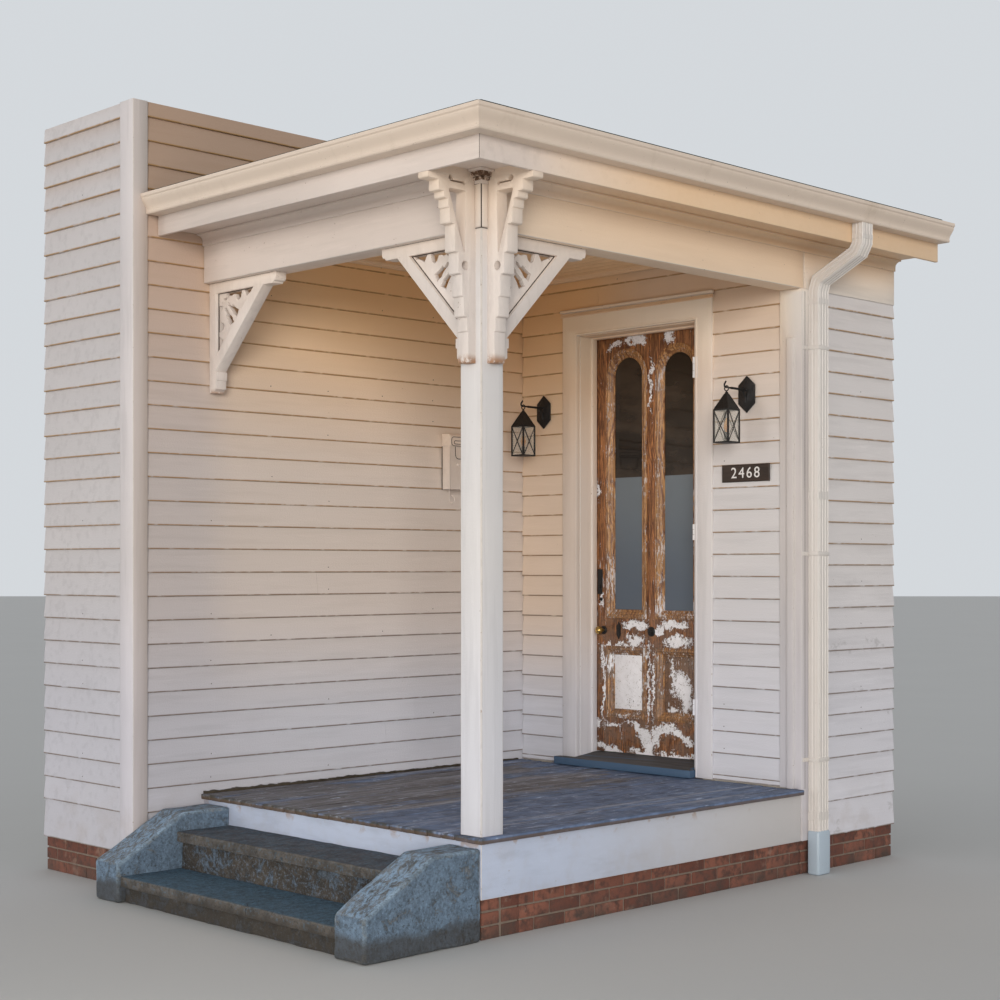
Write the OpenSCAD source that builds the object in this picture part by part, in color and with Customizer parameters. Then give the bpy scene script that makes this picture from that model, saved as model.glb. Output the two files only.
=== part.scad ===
// Entrance porch of a timber house: a corner of two lap-sided walls with a panelled
// door, a boarded deck on brick, concrete steps, one post, sawn brackets and a low
// hipped roof. X runs along the door wall with 0 at the middle of the doorway, Y runs
// into the house with 0 at the middle of the door wall, and Z is up from the ground.

/* [Porch] */
// Face of the left wall to the outer face of the post
porch_w = 2160; // [1900:10:2600]
// Face of the door wall to the front face of the post
porch_d = 2430; // [2000:10:3000]
// Height of the deck above the ground
deck_top = 470; // [400:5:600]
// Deck to the underside of the beams
beam_clear = 2745; // [2700:5:3000]
// Side of the square post, and width of the beams
post_side = 140; // [120:1:180]
// Height of the beams
beam_h = 275; // [240:1:320]
// How far the house walls run on behind the door wall and beside the front corner
wall_stub = 700; // [600:10:900]

/* [Walls] */
// Thickness of a framed wall without its siding
wall_t = 190; // [160:1:240]
// Thickness of the siding at the lower edge of a board
siding_t = 22; // [16:1:30]
// How much a siding board thins towards its top
lap_step = 12; // [6:1:14]
// Exposed height of a board on the left wall and the door wall
lap_h = 126; // [100:1:150]
// Exposed height of a board on the right wall
right_lap_h = 120; // [100:1:150]
// Height of the lowest board
base_board_h = 190; // [150:1:230]
// Lower edge of the siding above the ground
siding_bottom = 187; // [150:1:190]
// Height of the brick foundation
foundation_h = 195; // [192:1:240]
// Thickness of the brick foundation
foundation_t = 240; // [200:1:300]
// How far the left wall runs on in front of the post
left_wall_front = 440; // [350:5:600]
// Height of the left wall above the beams
left_wall_rise = 640; // [600:5:800]
// Thickness of corner boards and casings
trim_t = 28; // [24:1:35]
// Width of the corner board on the left wall
left_board_w = 90; // [70:1:130]
// Width of the corner board round the corner from it
front_board_w = 127; // [90:1:160]
// Width of the corner board at the right end of the door wall
right_board_w = 150; // [110:1:160]

/* [Doorway] */
// Middle of the doorway from the face of the left wall
door_from_left = 936; // [850:1:1000]
// Width of the doorway between the jambs
open_w = 902; // [860:1:960]
// Top of the doorway above the deck
open_h = 2640; // [2300:5:2650]
// Thickness of the jambs
jamb_t = 35; // [25:1:45]
// Width of the side casings
casing_w = 130; // [100:1:140]
// How much farther from the doorway its right leg stands than its left leg
casing_set = 28; // [0:1:40]
// Height of the head casing
head_casing_h = 153; // [120:1:180]
// Top of the sill above the deck
sill_rise = 72; // [50:1:90]
// Height of the sill's front edge
sill_nose_h = 46; // [30:1:48]
// How far the sill stands out from the siding
sill_out = 62; // [40:1:90]

/* [Door] */
// Thickness of the door
door_t = 45; // [38:1:55]
// Gap between the door and its frame
door_gap = 6; // [5:0.5:8]
// Width of the door's stiles
stile_w = 104; // [95:1:130]
// Width of the upright between the panes
muntin_w = 118; // [105:1:150]
// Height of the bottom rail
bottom_rail_h = 237; // [200:1:260]
// Height of the lower panels
panel_h = 392; // [340:1:430]
// Height of the lock rail
lock_rail_h = 220; // [200:1:260]
// Top of the arched panes below the top of the door
pane_drop = 102; // [90:1:150]
// Height of the knob above the deck
knob_h = 827; // [760:1:960]
// Height of the lock plate's foot above the deck
lock_h = 1050; // [1000:1:1150]
// Width of the mouldings round panes and panels
bead_w = 55; // [45:1:60]
// How far these mouldings stand out from the door
bead_out = 9; // [5:1:14]

/* [Deck and steps] */
// Thickness of the deck boards
board_t = 28; // [22:1:38]
// How far the deck stands out past the skirt
nosing = 25; // [15:1:40]
// Thickness of the skirt boards
skirt_t = 22; // [18:1:30]
// Going of a step
tread_d = 335; // [300:5:380]
// Thickness of the step slabs
slab_t = 52; // [40:1:70]
// How far a slab stands out past its riser
slab_nose = 30; // [15:1:45]
// Drop from the deck to the upper slab
upper_drop = 145; // [120:1:170]
// Drop from the deck to the lower slab
lower_drop = 335; // [300:1:345]
// Width of the walls beside the steps
cheek_w = 210; // [160:5:240]
// Top of these walls below the deck
cheek_drop = 50; // [20:1:90]
// Height of these walls at their front end
cheek_front_h = 190; // [150:1:240]

/* [Roof edge] */
// How far the fascia stands out from the beams
overhang = 290; // [250:1:340]
// Thickness of the fascia
fascia_t = 20; // [16:1:30]
// How far the fascia hangs below the soffit
fascia_drop = 43; // [30:1:60]
// Height of the fascia
fascia_h = 208; // [190:1:240]
// Thickness of the soffit and ceiling boards
ceiling_t = 15; // [12:1:20]
// Height of the moulding under the soffit
bed_h = 62; // [45:1:80]
// How far that moulding stands out
bed_out = 48; // [35:1:60]
// Rise of the roof in each unit of run
roof_slope = 0.16; // [0.12:0.01:0.2]
// Thickness of the roof boards and shingles
roof_t = 26; // [20:1:34]
// Depth of the gutter, front to back
gutter_d = 110; // [90:1:130]
// Height of the gutter
gutter_h = 103; // [90:1:120]
// Thickness of the gutter's sheet
sheet_t = 3; // [2:0.5:4]
// Depth of the downspout away from the wall
spout_d = 70; // [55:1:80]
// Width of the downspout along the wall
spout_w = 102; // [80:1:120]

/* [Brackets] */
// Thickness of the sawn brackets
bracket_t = 65; // [50:1:75]
// Height of the tall brackets under the soffit
eave_bracket_h = 868; // [800:1:900]
// Length of each arm of the corner brackets
spandrel_arm = 590; // [520:5:640]
// Width of their bars
spandrel_bar = 56; // [45:1:65]
// Thickness of their sawn infill
fret_t = 22; // [16:1:30]

/* [Fittings] */
// Width of the mailbox
mail_w = 250; // [220:1:300]
// Height of the mailbox below its lid
mail_h = 262; // [220:1:300]
// Height of the mailbox lid
mail_lid_h = 78; // [60:1:100]
// Depth of the mailbox
mail_d = 72; // [60:1:110]
// Width of a lantern
lantern_w = 108; // [90:1:130]
// Height of a lantern's glazed body
lantern_h = 182; // [150:1:220]
// Reach of a lantern's arm from the wall
lantern_reach = 185; // [160:1:230]

/* [Hidden] */
$fn = 48;
e = 0.01;

post_x = porch_w - door_from_left;
left_x = -door_from_left;
wall_y = -wall_t / 2;
face_y = wall_y - siding_t;
post_y = face_y - porch_d;
left_wall_x = left_x - siding_t;
right_wall_x = post_x - siding_t;
front_y = post_y - left_wall_front + siding_t;
back_y = wall_t / 2 + wall_stub;
stub_x = left_wall_x - wall_t - wall_stub;

beam_z = deck_top + beam_clear;
plate_z = beam_z + beam_h;
left_top = plate_z + left_wall_rise;
soffit_z = plate_z - ceiling_t;
eave_z = soffit_z - fascia_drop + fascia_h;
fascia_z = soffit_z - fascia_drop;
eave_out = overhang + 15;

sill_z = deck_top + sill_rise;
door_z = sill_z + door_gap;
head_z = deck_top + open_h;
door_w = open_w - 2 * door_gap;
door_h = head_z - door_gap - door_z;
door_left = -door_w / 2;
door_y = wall_t / 2 - door_t;
pane_w = (door_w - 2 * stile_w - muntin_w) / 2;
pane_z = bottom_rail_h + panel_h + lock_rail_h;
pane_h = door_h - pane_z - pane_drop;
pane_lefts = [stile_w, stile_w + pane_w + muntin_w];
hinge_r = 7;
hinge_x = door_w / 2 + door_gap / 2;
hinge_y = wall_t / 2 + hinge_r + 1;
hinge_h = 100;

// A box between two corners
module block(from, to) {
    translate(from) cube(to - from);
}

// An outline drawn with x outward and y up, run along a wall or beam that faces right
module face_right(x, y_from, y_to) {
    translate([x, y_to, 0]) rotate([90, 0, 0]) linear_extrude(y_to - y_from) children();
}

// The same outline along a wall or beam that faces the front
module face_front(y, x_from, x_to) {
    translate([x_to, y, 0]) rotate([90, 0, -90]) linear_extrude(x_to - x_from) children();
}

// The outline carried round the post's outer corner with a mitre
module round_corner(reach) {
    face_front(post_y, left_x, post_x) children();
    face_right(post_x, post_y, back_y) children();
    intersection() {
        face_front(post_y, post_x - e, post_x + reach) children();
        face_right(post_x, post_y - reach, post_y + e) children();
    }
}

// Corner points of an arc
function arc(centre, r, from, to, n = 8) =
    [for (i = [0:n]) centre + r * [cos(from + (to - from) * i / n), sin(from + (to - from) * i / n)]];

// Lap siding in section: each board stands out at its foot and thins upwards
module siding_section(bottom, top, first, lap) {
    count = floor((top - first - 1) / lap);
    last = first + count * lap;
    polygon(concat(
        [[0, top], [0, bottom], [siding_t, bottom]],
        [for (i = [0:count], edge = [siding_t - lap_step, siding_t]) [edge, first + i * lap]],
        [[siding_t - lap_step * (top - last) / lap, top]]
    ));
}

module house_foundation() {
    color("firebrick") {
        block([left_wall_x - foundation_t, front_y, 0], [left_wall_x, back_y, foundation_h]);
        block([stub_x, front_y, 0], [left_wall_x, front_y + foundation_t, foundation_h]);
        block([left_wall_x - e, wall_y, 0], [right_wall_x, wall_y + foundation_t, foundation_h]);
        block([right_wall_x - foundation_t, wall_y, 0], [right_wall_x, back_y, foundation_h]);
    }
}

brick_set = skirt_t + 2;

module porch_foundation() {
    front = post_y + brick_set;
    right = post_x - brick_set;
    color("firebrick") {
        block([left_x, front, 0], [right, front + foundation_t, foundation_h]);
        block([right - foundation_t, front, 0], [right, wall_y, foundation_h]);
    }
}

module left_wall() {
    color("linen")
        block([left_wall_x - wall_t, front_y, foundation_h], [left_wall_x, back_y, left_top]);
}

module front_wall_stub() {
    color("linen")
        block([stub_x, front_y, foundation_h], [left_wall_x - wall_t, front_y + wall_t, left_top]);
}

rough_x = open_w / 2 + jamb_t;
rough_right_x = rough_x + casing_set;
rough_z = head_z + jamb_t;

module door_wall_left() {
    color("linen") block([left_wall_x, wall_y, foundation_h], [-rough_x, -wall_y, rough_z]);
}

module door_wall_right() {
    color("linen")
        block([rough_right_x, wall_y, foundation_h], [right_wall_x - wall_t, -wall_y, rough_z]);
}

module door_wall_over() {
    color("linen")
        block([left_wall_x, wall_y, rough_z], [right_wall_x - wall_t, -wall_y, plate_z]);
}

module right_wall() {
    color("linen")
        block([right_wall_x - wall_t, wall_y, foundation_h], [right_wall_x, back_y, plate_z]);
}

module left_siding() {
    first = siding_bottom + base_board_h + 20;
    board_y = front_y - trim_t + left_board_w;
    board_x = left_wall_x + trim_t - front_board_w;
    color("antiquewhite") {
        face_right(left_wall_x, board_y, wall_y)
            siding_section(siding_bottom, left_top, first, lap_h);
        face_front(front_y, stub_x, board_x)
            siding_section(siding_bottom, left_top, first, lap_h);
    }
}

casing_x = open_w / 2 + casing_w - 5;
casing_right_x = casing_x + casing_set;
casing_top = head_z + head_casing_h - 5;
right_board_x = right_wall_x + trim_t - right_board_w;

module door_wall_siding() {
    bottom = deck_top + 2;
    color("antiquewhite") difference() {
        face_front(wall_y, left_x, right_board_x)
            siding_section(bottom, soffit_z, bottom + 26, lap_h);
        block([-casing_x, face_y - 1, 0], [casing_right_x, wall_y + 1, casing_top]);
    }
}

module right_siding() {
    color("antiquewhite")
        face_right(right_wall_x, wall_y + right_board_w, back_y)
            siding_section(siding_bottom, beam_z, siding_bottom + base_board_h, right_lap_h);
}

strip_w = 48;
strip_t = 14;
strip_top = deck_top + 2480;

module corner_boards() {
    corner_x = left_wall_x + trim_t;
    corner_y = front_y - trim_t;
    right = right_wall_x + trim_t;
    front = wall_y - trim_t;
    color("ivory") {
        block([left_wall_x, corner_y, siding_bottom], [corner_x, corner_y + left_board_w, left_top]);
        block([corner_x - front_board_w, corner_y, siding_bottom], [corner_x, front_y, left_top]);
        block([right_board_x, front, deck_top], [right, wall_y, beam_z]);
        block([right_wall_x, front, siding_bottom], [right, wall_y + right_board_w, beam_z]);
        block([right - 2 * strip_w, front - strip_t, deck_top],
              [right - strip_w, front + e, strip_top]);
    }
}

floor_t = 25;
floor_joist_w = 45;
floor_joist_h = 190;
floor_z = sill_z - 5;

module room_floor() {
    inner_x = right_wall_x - wall_t;
    joists = 2;
    color("sienna") {
        block([left_wall_x, -wall_y, floor_z - floor_t], [inner_x, back_y, floor_z]);
        for (i = [0:joists])
            translate([left_wall_x, -wall_y + i * (wall_stub - floor_joist_w) / joists,
                       floor_z - floor_t - floor_joist_h])
                cube([inner_x - left_wall_x, floor_joist_w, floor_joist_h + e]);
    }
}

joist_w = 45;
joist_gap = 400;
deck_z = deck_top - board_t;
deck_back = wall_y - trim_t - 2;

module deck_joists() {
    front = post_y + skirt_t;
    right = post_x - skirt_t;
    count = floor((deck_back - front - 2 * joist_w) / joist_gap);
    color("burlywood") {
        block([left_x, front, foundation_h], [right, front + joist_w, deck_z]);
        block([left_x, deck_back - joist_w, foundation_h], [right, deck_back, deck_z]);
        block([left_x, front, foundation_h], [left_x + joist_w, deck_back, deck_z]);
        block([right - joist_w, front, foundation_h], [right, deck_back, deck_z]);
        for (i = [1:count])
            translate([left_x, front + i * (deck_back - front - joist_w) / (count + 1), foundation_h])
                cube([right - left_x, joist_w, deck_z - foundation_h]);
    }
}

module deck_boards() {
    color("lightslategray")
        block([left_x + 6, post_y - nosing, deck_z], [post_x + nosing, deck_back, deck_top]);
}

module skirt_boards() {
    color("white") {
        block([left_x, post_y, siding_bottom], [post_x, post_y + skirt_t, deck_z]);
        block([post_x - skirt_t, post_y, siding_bottom], [post_x, wall_y - trim_t, deck_z]);
    }
}

steps_left = left_x + 30 + cheek_w;
steps_right = post_x - cheek_w;
upper_z = deck_top - upper_drop;
lower_z = deck_top - lower_drop;

module step_base() {
    back = post_y;
    color("gray") {
        block([steps_left, back - tread_d + slab_nose, 0], [steps_right, back, upper_z - slab_t]);
        block([steps_left, back - 2 * tread_d + slab_nose, 0], [steps_right, back, lower_z - slab_t]);
    }
}

module step_slabs() {
    color("dimgray") {
        block([steps_left, post_y - tread_d, upper_z - slab_t], [steps_right, post_y, upper_z]);
        block([steps_left, post_y - 2 * tread_d, lower_z - slab_t],
              [steps_right, post_y - tread_d + slab_nose, lower_z]);
    }
}

// Side view of a wall beside the steps, y forward from the house and z up
module cheek_section() {
    top = deck_top - cheek_drop;
    reach = 2 * tread_d + 15;
    flat = tread_d * 0.85;
    fall = atan2(top - cheek_front_h, reach - flat);
    r = 60;
    nose = 35;
    turn = r * tan(fall / 2);
    polygon(concat(
        [[0, 0], [0, top]],
        arc([flat - turn, top - r], r, 90, 90 - fall),
        arc([reach - nose, cheek_front_h - nose * 0.4], nose, 90 - fall, 0),
        [[reach, 0]]
    ));
}

module cheek_wall(x) {
    color("slategray") translate([x, post_y, 0]) rotate([90, 0, 90])
        linear_extrude(cheek_w) mirror([1, 0]) cheek_section();
}

module left_cheek_wall() {
    cheek_wall(steps_left - cheek_w);
}

module right_cheek_wall() {
    cheek_wall(steps_right);
}

module post() {
    edge = 4;
    color("white") translate([post_x - post_side, post_y, deck_top]) linear_extrude(beam_clear)
        polygon([for (c = [[0, 0], [1, 0], [1, 1], [0, 1]])
            for (s = c[0] == c[1] ? [[0, 1], [1, 0]] : [[1, 0], [0, 1]])
                [c[0] * post_side + (1 - 2 * c[0]) * edge * s[0],
                 c[1] * post_side + (1 - 2 * c[1]) * edge * s[1]]]);
}

module front_beam() {
    color("white")
        block([left_x, post_y, beam_z], [post_x, post_y + post_side, plate_z]);
}

module side_beam() {
    color("white")
        block([post_x - post_side, post_y + post_side, beam_z], [post_x, wall_y, plate_z]);
}

module frieze_board() {
    color("white") block([right_wall_x, wall_y, beam_z], [post_x, back_y, soffit_z]);
}

// Moulding under the soffit: two fillets with a hollow between them
module bed_section() {
    fillet = 9;
    r = min(bed_h, bed_out) - 2 * fillet;
    polygon(concat(
        [[0, soffit_z], [0, soffit_z - bed_h], [fillet, soffit_z - bed_h],
         [fillet, soffit_z - fillet - r]],
        arc([fillet + r, soffit_z - fillet - r], r, 180, 90),
        [[bed_out, soffit_z - fillet], [bed_out, soffit_z]]
    ));
}

module bed_moulding() {
    near = post_x - (post_side + bracket_t) / 2 - 1;
    color("white") difference() {
        round_corner(bed_out) bed_section();
        block([near, post_y - overhang, 0], [near + bracket_t + 2, post_y + e, left_top]);
        block([post_x - e, post_y + (post_side - bracket_t) / 2 - 1, 0],
              [post_x + overhang, post_y + (post_side + bracket_t) / 2 + 1, left_top]);
    }
}

cove = 24;

module ceiling_boards() {
    inner_x = post_x - post_side;
    inner_y = post_y + post_side;
    color("peachpuff") {
        block([left_x, inner_y, soffit_z], [inner_x, wall_y, plate_z]);
        difference() {
            block([left_x, inner_y, soffit_z - cove], [inner_x, face_y, soffit_z + e]);
            block([left_x + cove, inner_y + cove, soffit_z - cove - 1],
                  [inner_x - cove, face_y - cove, soffit_z - e]);
        }
    }
}

module soffit_boards() {
    color("peachpuff") round_corner(overhang - fascia_t)
        translate([0, soffit_z]) square([overhang - fascia_t, ceiling_t]);
}

module fascia_boards() {
    color("white") difference() {
        round_corner(overhang) translate([0, fascia_z]) square([overhang, fascia_h]);
        round_corner(overhang - fascia_t)
            translate([-1, 0]) square([overhang - fascia_t + 1, left_top]);
    }
}

// Space under the hipped roof, its top raised by lift and its edges moved out by grow
module under_roof(lift, grow) {
    out = eave_out + grow;
    left = left_x - grow;
    back = back_y + grow;
    top = eave_z + lift - grow * roof_slope;
    width = post_x + out - left;
    depth = back - post_y + out;
    intersection() {
        translate([0, back, 0]) rotate([90, 0, 0]) linear_extrude(depth)
            polygon([[left, 0], [post_x + out, 0], [post_x + out, top],
                     [left, top + width * roof_slope]]);
        translate([left, 0, 0]) rotate([90, 0, 90]) linear_extrude(width)
            polygon([[post_y - out, 0], [back, 0], [back, top + depth * roof_slope],
                     [post_y - out, top]]);
    }
}

module roof() {
    color("darkslategray") difference() {
        under_roof(roof_t, 0);
        under_roof(0, 5);
    }
}

rafter_w = 45;
rafters = 4;

module roof_frame() {
    right = post_x + overhang - fascia_t;
    front = post_y - overhang + fascia_t;
    beam_mid = post_y + post_side / 2;
    lookout_x = [left_x, (left_x + post_x) / 2, post_x - post_side / 2];
    color("burlywood") intersection() {
        under_roof(0, 0);
        union() {
            block([left_x, front, plate_z], [right, front + rafter_w, left_top]);
            block([right - rafter_w, front, plate_z], [right, back_y, left_top]);
            for (i = [0:rafters + 1])
                translate([left_x, beam_mid - i * beam_mid / rafters - rafter_w / 2, plate_z])
                    cube([right - left_x, rafter_w, left_top - plate_z]);
            for (x = lookout_x)
                translate([x, front, plate_z])
                    cube([rafter_w, beam_mid - front, left_top - plate_z]);
        }
    }
}

// Gutter in section, x out from the fascia: flat bottom, bead, ogee front and lip
module gutter_section(inset) {
    bottom = eave_z - gutter_h - 2 + inset;
    bead_x = gutter_d * 0.66 - inset;
    face_x = gutter_d - 6 - inset;
    low = bottom + 18;
    high = eave_z - 24;
    steps = 8;
    polygon(concat(
        [[inset, inset > 0 ? eave_z + 10 : eave_z - 2], [inset, bottom], [bead_x, bottom],
         [bead_x + 4, bottom + 6], [bead_x + 4, low - 4]],
        [for (i = [0:steps])
            [bead_x + 2 + (face_x - bead_x - 2) * (1 - cos(180 * i / steps)) / 2,
             low + (high - low) * i / steps]],
        [[gutter_d - inset, high + 6], [gutter_d - inset, inset > 0 ? eave_z + 10 : eave_z - 2]]
    ));
}

module gutter() {
    color("white") translate([overhang, -overhang, 0]) {
        difference() {
            gutter_run(0);
            gutter_run(sheet_t);
        }
    }
}

// The gutter's outline, or its inside, round the corner of the fascia
module gutter_run(inset) {
    cap = inset > 0 ? sheet_t : 0;
    gutter_left = left_wall_x + trim_t - overhang + cap;
    gutter_back = back_y + overhang - cap;
    face_front(post_y, gutter_left, post_x) gutter_section(inset);
    face_right(post_x, post_y, gutter_back) gutter_section(inset);
    intersection() {
        face_front(post_y, post_x - e, post_x + gutter_d) gutter_section(inset);
        face_right(post_x, post_y - gutter_d, post_y + e) gutter_section(inset);
    }
    if (inset > 0) {
        block([gutter_left, post_y - inset - gutter_d * 0.6, eave_z - gutter_h + inset],
              [post_x + inset + 1, post_y - inset, eave_z + 10]);
        block([post_x + inset, post_y - inset - 1, eave_z - gutter_h + inset],
              [post_x + inset + gutter_d * 0.6, gutter_back, eave_z + 10]);
    }
}

spout_y = wall_y + right_board_w / 2;
spout_wall_x = right_wall_x + trim_t;
spout_top_x = post_x + overhang + gutter_d * 0.33;

// Side view of the downspout: a band of the given width along its bent path
module spout_path(half) {
    low_x = spout_wall_x + spout_d / 2;
    top_z = eave_z - gutter_h - 2;
    bend_low = beam_z + 20;
    bend_high = beam_z + 188;
    run = spout_top_x - low_x;
    tilt = atan2(run, bend_high - bend_low);
    shift = half * tan(tilt / 2);
    foot = 230;
    polygon([
        [low_x - half, foot], [low_x + half, foot],
        [low_x + half, bend_low - shift], [spout_top_x + half, bend_high - shift],
        [spout_top_x + half, top_z], [spout_top_x - half, top_z],
        [spout_top_x - half, bend_high + shift], [low_x - half, bend_low + shift]
    ]);
}

module downspout() {
    low_x = spout_wall_x + spout_d / 2;
    sleeve = 8;
    sleeve_h = 240;
    color("white") difference() {
        union() {
            translate([0, spout_y + spout_w / 2, 0]) rotate([90, 0, 0])
                linear_extrude(spout_w) spout_path(spout_d / 2);
            block([spout_wall_x, spout_y - spout_w / 2 - sleeve, 0],
                  [spout_wall_x + spout_d + sleeve, spout_y + spout_w / 2 + sleeve, sleeve_h]);
        }
        translate([0, spout_y + spout_w / 2 - sheet_t, 0]) rotate([90, 0, 0])
            linear_extrude(spout_w - 2 * sheet_t) spout_path(spout_d / 2 - sheet_t);
        block([low_x - spout_d / 2 + sheet_t, spout_y - spout_w / 2 + sheet_t, -1],
              [low_x + spout_d / 2 - sheet_t, spout_y + spout_w / 2 - sheet_t, sleeve_h + 10]);
    }
}

// Front edge of the tall bracket from the top down: reach and height of each step
eave_steps = [[1, 0.081], [0.78, 0.055], [0.67, 0.033], [0.58, 0.047], [0.55, 0.078],
              [0.445, 0.143], [0.366, 0.11], [0.288, 0.115], [0.25, 0.103], [0.18, 0.076],
              [0.16, 0.159]];

function height_above(i) = i == 0 ? 0 : height_above(i - 1) + eave_steps[i - 1][1];

soffit_w = overhang - fascia_t;

// Side view of the tall bracket: x out from the post and y down from the soffit
module eave_bracket_section() {
    reach = overhang - 1;
    h = eave_bracket_h;
    nose = 0.031 * reach;
    difference() {
        polygon(concat(
            [[0, 0], [soffit_w - 1, 0], [soffit_w - 1, -fascia_drop - 1]],
            [for (i = [0:len(eave_steps) - 1])
                let (s = eave_steps[i], x = s[0] * reach,
                     top = min(-height_above(i) * h, -fascia_drop - 1),
                     low = -height_above(i + 1) * h)
                each concat([[x, top]], arc([x - nose, low + nose], nose, 0, -90, 4))],
            [[0, -h]]
        ));
        translate([0.22 * reach, -0.5 * h]) circle(r = 0.073 * reach);
        hull() {
            translate([0.53 * reach, -0.125 * h]) circle(r = 0.035 * reach);
            translate([0.24 * reach, -0.125 * h]) circle(r = 0.035 * reach);
            translate([0.24 * reach, -0.43 * h]) circle(r = 0.01 * reach);
        }
        translate([0.52 * reach, -0.062 * h]) circle(r = 0.052 * reach);
        translate([0.25 * reach, -0.08 * h]) square([0.27 * reach, 0.031 * reach]);
        translate([0.25 * reach, -0.075 * h]) circle(r = 0.031 * reach);
    }
}

module front_eave_bracket() {
    mid = post_x - post_side / 2;
    color("white") translate([0, 0, soffit_z])
        face_front(post_y, mid - bracket_t / 2, mid + bracket_t / 2) eave_bracket_section();
}

module side_eave_bracket() {
    mid = post_y + post_side / 2;
    color("white") translate([0, 0, soffit_z])
        face_right(post_x, mid - bracket_t / 2, mid + bracket_t / 2) eave_bracket_section();
}

spandrel_foot = 112;
diag_end = spandrel_arm - spandrel_foot;
diag_w = spandrel_bar * 1.45;

// Frame of a corner bracket: x along the beam from the upright, y down from the beam
module spandrel_section() {
    arm = spandrel_arm;
    bar = spandrel_bar;
    foot = spandrel_foot;
    difference() {
        union() {
            translate([0, -bar]) square([arm - 14, bar]);
            translate([arm - 26, -bar * 0.6]) square([26, bar * 0.6]);
            translate([arm - 20, -bar * 0.6]) circle(r = bar * 0.3);
            translate([0, -arm]) square([bar, arm]);
            translate([0, foot * 0.6 - arm]) square([bar + 14, foot * 0.4]);
            translate([0, -arm]) square([bar + 5, foot * 0.6 + e]);
            polygon([[diag_end, -bar + e], [diag_end - diag_w, -bar],
                     [bar, diag_w - diag_end], [bar - e, -diag_end]]);
        }
        translate([bar + 5, -arm]) circle(r = 20);
        translate([arm - 14, -bar]) circle(r = 12);
    }
}

module wall_spandrel() {
    y = post_y + (post_side + bracket_t) / 2;
    color("white") translate([left_x, y, beam_z]) rotate([90, 0, 0])
        linear_extrude(bracket_t) spandrel_section();
}

module front_spandrel() {
    y = post_y + (post_side - bracket_t) / 2;
    color("white") translate([post_x - post_side, y, beam_z]) rotate([90, 0, 180])
        linear_extrude(bracket_t) spandrel_section();
}

module side_spandrel() {
    x = post_x - (post_side + bracket_t) / 2;
    color("white") translate([x, post_y + post_side, beam_z]) rotate([90, 0, 90])
        linear_extrude(bracket_t) spandrel_section();
}

// One leaf-shaped hole of the fretwork, pointing along x from its tip
module fret_leaf(length, width) {
    r = (length * length + width * width) / (4 * width);
    translate([length / 2, 0]) intersection() {
        translate([0, r - width / 2]) circle(r = r);
        translate([0, width / 2 - r]) circle(r = r);
    }
}

// Holes of the sawn infill on one side of its middle, as shares of its sides: gaps under
// the bar, the gap at its far corner, a flared hole with a neck, and a slit
fret_holes = [
    [[0.2, -0.02], [0.2, 0.08], [0.24, 0.1], [0.29, 0.055], [0.34, 0.07], [0.39, 0.05], [0.45, 0.05],
     [0.48, 0.12], [0.53, 0.15], [0.58, 0.12], [0.6, 0.05], [0.62, -0.02]],
    [[0.66, -0.02], [0.7, 0.04], [0.74, 0.11], [0.79, 0.08], [0.86, 0.05], [0.9, 0.06], [0.96, -0.02]],
    [[0.24, 0.16], [0.28, 0.17], [0.34, 0.235], [0.37, 0.2], [0.43, 0.25], [0.53, 0.3], [0.5, 0.36],
     [0.48, 0.41], [0.44, 0.375], [0.4, 0.36], [0.365, 0.31], [0.325, 0.265], [0.25, 0.21]],
    [[0.09, 0.13], [0.12, 0.16], [0.12, 0.22], [0.09, 0.2]]
];

// Sawn infill inside the frame's triangle, the same on both sides of its middle
module fret_section() {
    a = spandrel_bar;
    side = diag_end - diag_w - a;
    translate([a, -a]) intersection() {
        polygon([[0, 0], [side, 0], [0, -side]]);
        difference() {
            translate([0, -side]) square(side);
            for (hole = fret_holes, turn = [0, 1])
                polygon([for (p = hole) side * [p[turn], -p[1 - turn]]]);
        }
    }
}

module spandrel_frets() {
    front = post_y + (post_side + fret_t) / 2;
    side = post_x - (post_side + fret_t) / 2;
    color("white") {
        translate([left_x, front, beam_z]) rotate([90, 0, 0])
            linear_extrude(fret_t) fret_section();
        translate([post_x - post_side, front - fret_t, beam_z]) rotate([90, 0, 180])
            linear_extrude(fret_t) fret_section();
        translate([side, post_y + post_side, beam_z]) rotate([90, 0, 90])
            linear_extrude(fret_t) fret_section();
    }
}

stop_t = 12;
stop_y = door_y - 5;
jamb_front = wall_y;

module side_jamb(x_from, x_to, stop_x) {
    color("ivory") {
        block([x_from, jamb_front, deck_top], [x_to, -wall_y, head_z]);
        block([stop_x, stop_y - 40, sill_z], [stop_x + stop_t + e, stop_y, head_z]);
    }
}

module left_jamb() {
    side_jamb(-rough_x, -open_w / 2, -open_w / 2 - e);
}

module right_jamb() {
    side_jamb(open_w / 2, rough_right_x, open_w / 2 - stop_t);
}

module head_jamb() {
    color("ivory") {
        block([-rough_x, jamb_front, head_z], [rough_right_x, -wall_y, rough_z]);
        block([-open_w / 2 + stop_t, stop_y - 40, head_z - stop_t],
              [open_w / 2 - stop_t, stop_y, head_z + e]);
    }
}

casing_inner = open_w / 2 + 5;

module door_casing() {
    front = wall_y - trim_t;
    band = 14;
    ends = 11;
    color("ivory") {
        block([-casing_x + e, front, deck_top + sill_nose_h], [-casing_inner, wall_y, head_z + 5]);
        block([casing_inner + casing_set, front, deck_top], [casing_right_x - e, wall_y, head_z + 5]);
        block([-casing_x + e, front, head_z + 5], [casing_right_x - e, wall_y, casing_top - e]);
        block([-casing_x - ends, front - band, casing_top - e],
              [casing_right_x + ends, face_y, casing_top + 18]);
    }
}

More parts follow.
